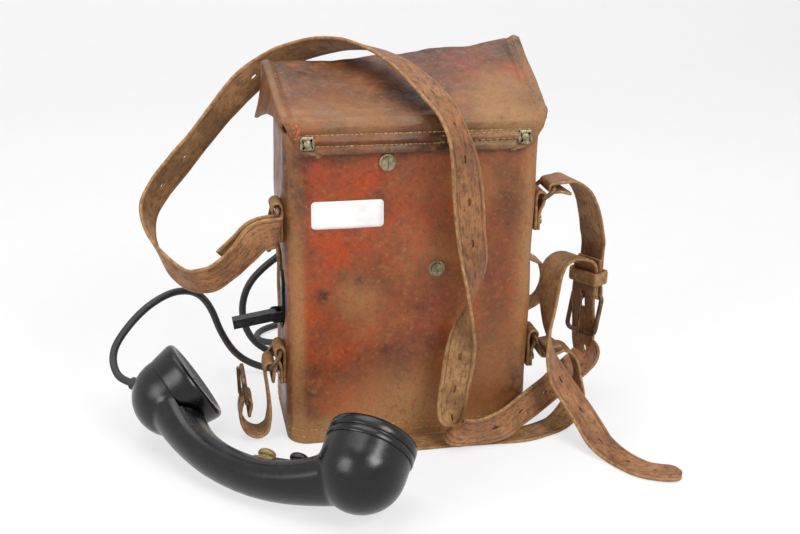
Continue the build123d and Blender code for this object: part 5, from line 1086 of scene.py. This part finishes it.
hook_swing = radians(35)
hook_x, hook_z = -(EYE_X + 14 * sin(hook_swing)), 74 - 14 * cos(hook_swing)
bend_r, bar_z = 8.5, 34.0
bar_x = hook_x - 2 * bend_r - 1
drop_route = [((hook_x + 2.4, TAB_Y, hook_z - 13), (0, -1, 0))]
drop_route += bar_turn(hook_x, TAB_Y, hook_z, turn_r, 0, 180, 6)
drop_route += [((x, TAB_Y, z), (0, -1, 0)) for x, z in
               ((hook_x - 2.4, hook_z - 13), (hook_x - 1, hook_z - 26), (hook_x - 1, 7 + bend_r),
                (hook_x - 1 - bend_r * 0.3, 7), (hook_x - 1 - bend_r, 4), (hook_x - 1 - bend_r * 1.9, 7),
                (hook_x - 2 - bend_r * 2.35, 7 + bend_r))]
drop_route += bar_turn(bar_x, TAB_Y, bar_z, turn_r, 180, 0, 6)
drop_route += [((bar_x + 1.6, TAB_Y, bar_z - 12), (0, -1, 0))]
drop = ribbon("waist_buckle_strap_dressed", drop_route, 22, 2.4, strap_sides)
slot_rings = [[(x, TAB_Y + y, bar_z + z) for x, y in ((-6 + bar_x, -2.4), (6 + bar_x, -2.4),
                                                      (6 + bar_x, 2.4), (-6 + bar_x, 2.4))] for z in (-5, 6)]
cut(drop, [skin("waist_cutter", slot_rings, ends=True, materials=[cut_edge])])
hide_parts("waist_buckle_strap")
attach(drop, "case")

loop_x = 95 + 0.3 + 1.3
loop_route = [((loop_x + x, 24, z), (0, -1, 0)) for x, z in
              ((0, 134), (0.8, 126), (12, 120), (25, 112), (30, 97), (25, 82), (12, 74), (0.8, 68), (0, 60))]
loop = ribbon("side_belt_loop_dressed", loop_route, 20, 2.6, strap_sides)
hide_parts("side_belt_loop")
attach(loop, "case")

# Rings and buckle frames of browned steel wire, bent to a rectangle with round corners.


def wire_frame(name, corners, node, radius=1.85, bend=4.2):
    """Closed wire frame through four corners, each rounded to the bend radius."""
    corners, line = [Vector(corner) for corner in corners], []
    for index, corner in enumerate(corners):
        before, after = corners[index - 1], corners[(index + 1) % len(corners)]
        start = corner + (before - corner).normalized() * min(bend, (before - corner).length * 0.45)
        end = corner + (after - corner).normalized() * min(bend, (after - corner).length * 0.45)
        line += [start * (1 - part) ** 2 + corner * (2 * part * (1 - part)) + end * part ** 2
                 for part in (step / 8 for step in range(9))]
    normal = (corners[1] - corners[0]).cross(corners[2] - corners[1]).normalized()
    rings = []
    for index, middle in enumerate(line):
        along = (line[(index + 1) % len(line)] - line[index - 1]).normalized()
        side = along.cross(normal)
        rings.append([middle + (side * cos(turn) + normal * sin(turn)) * radius
                      for turn in (2 * pi * step / 16 for step in range(16))])
    frame_piece = skin(name, rings, loop=True, materials=[node_finish["dark_steel"]])
    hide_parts(node)
    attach(frame_piece, "case")


REACH = 13.5 + WIRE
for name, (side, eye_z, swing, drop_length) in PLACES.items():
    far_x = side * (EYE_X + drop_length * sin(radians(swing)))
    far_z = eye_z - drop_length * cos(radians(swing))
    near_x = side * EYE_X
    corners = [(near_x, TAB_Y - REACH, eye_z), (near_x, TAB_Y + REACH, eye_z),
               (far_x, TAB_Y + REACH, far_z), (far_x, TAB_Y - REACH, far_z)]
    wire_frame(name + "_ring_dressed", corners, name + "_ring", WIRE)
half_bar = 13 + WIRE
wire_frame("strap_buckle_dressed", [lap_point(-half_bar, 0, 0), lap_point(half_bar, 0, 0),
                                    lap_point(half_bar, 34, 7.6), lap_point(-half_bar, 34, 7.6)],
           "strap_buckle_frame", 2.0, 6)
half_bar = 12 + WIRE
wire_frame("waist_buckle_dressed", [(bar_x, TAB_Y - half_bar, bar_z), (bar_x, TAB_Y + half_bar, bar_z),
                                    (bar_x - 2, TAB_Y + half_bar, bar_z + 22),
                                    (bar_x - 2, TAB_Y - half_bar, bar_z + 22)],
           "waist_buckle_frame", WIRE)

tabs = []
for name, (side, eye_z, swing, drop_length) in PLACES.items():
    stations = [((side * 96.2, TAB_Y, eye_z - down), (0, side, 0)) for down in (26, 14)]
    stations += [((side * (EYE_X + 3.35 * cos(radians(turn))), TAB_Y, eye_z + 3.35 * sin(radians(turn))),
                  (0, side, 0)) for turn in (180, 150, 120, 90, 60, 30, 0, -25)]
    stations += [((side * x, TAB_Y, eye_z - down), (0, side, 0)) for x, down in
                 ((101.4, 6.5), (99.3, 11), (98.7, 15), (98.7, 26))]
    tabs.append(ribbon("side_tab_" + name, stations, 19.4, 2.4, strap_sides))
for piece in tabs:
    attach(piece, "case")
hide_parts("side_tabs")

# ---------------------------------------------------------------- handset
# Moulded in black phenolic in one piece with a bowed grip, gone dull and brown where the
# hand wore it. Both caps screw on; the transmitter's flares out to a flat face.
MID, SPAN, BULB = Vector((-118.0, -86.5, 36.6)), 92.0, 31.0
turn_at, lean_at = radians(-48.2), radians(36)
long_way = Vector((cos(turn_at), sin(turn_at), 0))
level_way = Vector((-sin(turn_at), cos(turn_at), 0))
cap_way = level_way * cos(lean_at) + Vector((0, 0, 1)) * sin(lean_at)
handset_axes = Matrix((long_way, cap_way.cross(long_way), cap_way)).transposed().to_4x4()
handset_frame = Matrix.Translation(MID) @ handset_axes


def end_frame(centre, tilt):
    """Local frame of a cap, leaning inwards along the handset."""
    tilt = radians(tilt)
    axes = Matrix(((cos(tilt), 0, -sin(tilt)), (0, 1, 0), (sin(tilt), 0, cos(tilt)))).transposed().to_4x4()
    return handset_frame @ Matrix.Translation(centre) @ axes


ear_frame, mouth_frame = end_frame((SPAN, 0, 0), -12), end_frame((-SPAN, 0, -2), 27)


def lathe(frame_of, profile, around=96):
    """Rings of a turned shape in a local frame, from (radius, height) points."""
    return [[frame_of @ Vector((max(radius, 0.01) * cos(turn), max(radius, 0.01) * sin(turn), height))
             for turn in (2 * pi * step / around for step in range(around))] for radius, height in profile]


def bulb_profile(seam):
    arc = [(BULB * sin(radians(turn)), -BULB * cos(radians(turn))) for turn in range(0, 91, 6)]
    return arc + [(BULB, seam + 5), (0, seam + 5)]


grip_rings = []
for step in range(41):
    share = -1 + step / 20
    x = share * (SPAN - 4)
    z = -29.2 * (1 - abs(share) ** 2.2) - 6
    slope = 29.2 * 2.2 * abs(share) ** 1.2 * (1 if share > 0 else -1) / (SPAN - 4)
    normal = Vector((-slope, 0, 1)).normalized()
    size = 1 + (0.62 if share < 0 else 0.45) * abs(share) ** 3
    grip_rings.append([handset_frame @ (Vector((x, 0, z)) + Vector((0, 17 * size * cos(turn), 0))
                                        + normal * (13.5 * size * sin(turn)))
                       for turn in (2 * pi * part / 40 for part in range(40))])
body = skin("handset_body_dressed", grip_rings, ends=True, materials=[phenolic])
bulbs = [skin("bulb", lathe(ear_frame, bulb_profile(12)), ends=True),
         skin("bulb", lathe(mouth_frame, bulb_profile(3)), ends=True)]
joined = bmesh.new()
for piece in [body] + bulbs:
    joined.from_mesh(piece.data)
joined.to_mesh(body.data)
joined.free()
for piece in bulbs:
    bpy.data.objects.remove(piece)
change = body.modifiers.new("one_skin", "REMESH")
change.mode, change.voxel_size, change.use_smooth_shade = "VOXEL", 0.0013, True
change = body.modifiers.new("flow", "SMOOTH")
change.factor, change.iterations = 0.5, 12

LEVER_X = 31.0
lever_share = LEVER_X / (SPAN - 4)
lever_slope = 31 * 2.2 * lever_share ** 1.2 / (SPAN - 4)
lever_tilt = atan(lever_slope)
LEVER_Z = -31 * (1 - lever_share ** 2.2) - 6 + 13.5
lever_axes = Matrix(((cos(lever_tilt), 0, sin(lever_tilt)), (0, 1, 0),
                     (-sin(lever_tilt), 0, cos(lever_tilt)))).transposed().to_4x4()
lever_frame = handset_frame @ Matrix.Translation((LEVER_X, 0, LEVER_Z)) @ lever_axes
cutters = []
for frame_of, seam in ((ear_frame, 12), (mouth_frame, 3)):
    hollow = ((0, seam - 14), (BULB - 5, seam - 14), (BULB - 5, seam),
              (BULB + 6, seam), (BULB + 6, seam + 40), (0, seam + 40))
    cutters.append(skin("seam_cutter", lathe(frame_of, hollow), ends=True, materials=[phenolic]))
slot_rings = [[lever_frame @ Vector((point.x, point.y, z))
               for point, out, corner in round_outline(50, 11, 2)] for z in (-9, 20)]
cutters.append(skin("slot_cutter", slot_rings, ends=True, materials=[phenolic]))
recess_rings = [[lever_frame @ Vector((point.x + 13.5, point.y, z)) for point, out, corner in
                 round_outline(20, 16.5, 6)] for z in (1.8, 20)]
cutters.append(skin("recess_cutter", recess_rings, ends=True, materials=[phenolic]))
cut(body, cutters)
body.data.polygons.foreach_set("material_index", [0] * len(body.data.polygons))
body.data.set_sharp_from_angle(angle=radians(38))
paint(body, "worn", lambda p: min(1.0, patches(p, (
    (-152, -72, 26, 9, 13, 0.95), (-128, -98, 12, 16, 6, 0.35), (-100, -128, 14, 20, 6, 0.2)))))
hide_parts("handset_body")
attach(body, "handset")

mouth_profile = [(0, 16.4), (10, 16.6), (19, 17.2), (25, 18.2), (28, 19.4), (29.4, 19.8), (31.2, 19.6),
                 (32.6, 18.7), (33.4, 17.2), (33.6, 15.2), (33.3, 12.4), (32.7, 9.0), (32.1, 5.5),
                 (31.6, 2.6), (31.4, 0.9), (31.0, 0.3), (28.0, 0.3), (28.0, 12.6), (0, 12.6)]
ear_profile = [(0, 11.4), (6, 11.5), (13, 12.0), (19, 13.0), (24, 14.3), (27, 15.0), (28.6, 14.9),
               (30.4, 14.0),
               (31.5, 12.2), (31.8, 10.0), (31.8, 6.6), (31.5, 6.1), (30.9, 5.9), (30.9, 5.1), (31.5, 4.9),
               (31.8, 4.4), (31.8, 1.0), (31.4, 0.3), (28.0, 0.3), (28.0, 8.6), (0, 8.6)]
for name, frame_of, seam, profile, node in (
        ("transmitter_cap_dressed", mouth_frame, 3.0, mouth_profile, "transmitter_cap"),
        ("receiver_cap_dressed", ear_frame, 12.0, ear_profile, "receiver_cap")):
    at_seam = frame_of @ Matrix.Translation((0, 0, seam))
    cap = skin(name, lathe(at_seam, profile, 128), ends=True, materials=[phenolic])
    drills = []
    for ring_r, count in ((0, 1), (6.5, 6), (12.5, 10)):
        for hole in range(count):
            angle = 2 * pi * hole / count
            place_of = at_seam @ Matrix.Translation((ring_r * cos(angle), ring_r * sin(angle), 0))
            bore = lathe(place_of, ((1.3, 4), (1.3, 34)), 20)
            drills.append(skin("drill", bore, ends=True, materials=[phenolic]))
    joined = bmesh.new()
    for drill in drills:
        joined.from_mesh(drill.data)
    joined.to_mesh(drills[0].data)
    joined.free()
    for drill in drills[1:]:
        bpy.data.objects.remove(drill)
    cut(cap, drills[:1])
    cap.data.polygons.foreach_set("material_index", [0] * len(cap.data.polygons))
    cap.data.set_sharp_from_angle(angle=radians(50))
    paint(cap, "worn", lambda p: 0.0)
    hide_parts(node)
    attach(cap, "handset")

# ---------------------------------------------------------------- talk switch
# A phenolic rocker with a round pad at each end, set in a slot of the grip. The pad next
# to the transmitter has lost its black and shows a brassy brown.
# The same moulding, duller; a sharp step of wear, in patches, turns the near pad brassy.
rocker_black, tree, place = material("moulded_switch_black")
spread = put(tree, "VectorMath", {"operation": "DOT_PRODUCT"}, "Value", s0=place, s1=long_way)
middle_at = (MID + long_way * LEVER_X).dot(long_way) / 1000
near_pad = put(tree, "MapRange", s0=spread, s1=middle_at - 0.006, s2=middle_at - 0.004, s3=1.0, s4=0.0)
wear = put(tree, "TexNoise", Vector=place, Scale=1000 / 4, Detail=8, Roughness=0.7)
wear = put(tree, "MapRange", s0=wear, s1=0.34, s2=0.5, s3=0.35)
wear = put(tree, "Math", TIMES, s0=near_pad, s1=wear)
tone = put(tree, "TexNoise", Vector=place, Scale=1000 / 5, Detail=8, Roughness=0.7)
colour = put(tree, "ValToRGB", stops=((0.35, "060607"), (0.7, "191816")), Fac=tone)
colour = put(tree, "Mix", COLOURS, 2, s0=wear, s6=colour, s7="8a7440")
shine = put(tree, "TexNoise", Vector=place, Scale=1000 / 3, Detail=6, Roughness=0.55)
shine = put(tree, "MapRange", s0=shine, s1=0.3, s2=0.7, s3=0.25, s4=0.45)
pits = put(tree, "TexNoise", Vector=place, Scale=1000 / 2.5, Detail=6, Roughness=0.55)
relief = put(tree, "Bump", Height=pits, Distance=0.12 / 1000)
shader = put(tree, "BsdfPrincipled", Base_Color=colour, Roughness=shine, Normal=relief)
put(tree, "OutputMaterial", Surface=shader)
plate_rings = []
for inset, z in ((0.0, 0.5), (0.0, 3.6), (0.5, 4.2), (1.2, 4.4)):
    plate_rings.append([lever_frame @ Vector((point.x, point.y, z))
                        for point, out, corner in round_outline(44, 9.8, 2.5, -inset)])
rocker = skin("talk_lever_dressed", plate_rings, ends=True, materials=[rocker_black])
parts = [skin("lever_boss", [[lever_frame @ Vector((3.2 * cos(turn), y, 3.2 * sin(turn) - 4.5)) for turn in
                              (2 * pi * step / 24 for step in range(24))] for y in (-4.9, 4.9)], ends=True)]
for side, width in ((-1, 6.9), (1, 7.3)):
    pad_frame = lever_frame @ Matrix.Translation((side * 13.5, 0, 0)) @ Matrix.Diagonal((1.0, 0.9, 1.0, 1.0))
    pad_profile = ((0, 4.4), (width - 2.2, 4.4), (width - 2.0, 5.4), (width - 0.5, 6.0), (width, 7.0),
                   (width - 0.1, 8.4), (width - 0.8, 9.6), (width - 2.1, 10.4), (width - 4, 10.7), (0, 10.6))
    parts.append(skin("pad", lathe(pad_frame, pad_profile, 40), ends=True))
joined = bmesh.new()
for piece in [rocker] + parts:
    joined.from_mesh(piece.data)
joined.to_mesh(rocker.data)
joined.free()
for piece in parts:
    bpy.data.objects.remove(piece)
rocker.data.set_sharp_from_angle(angle=radians(45))
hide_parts("talk_lever")
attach(rocker, "switch")
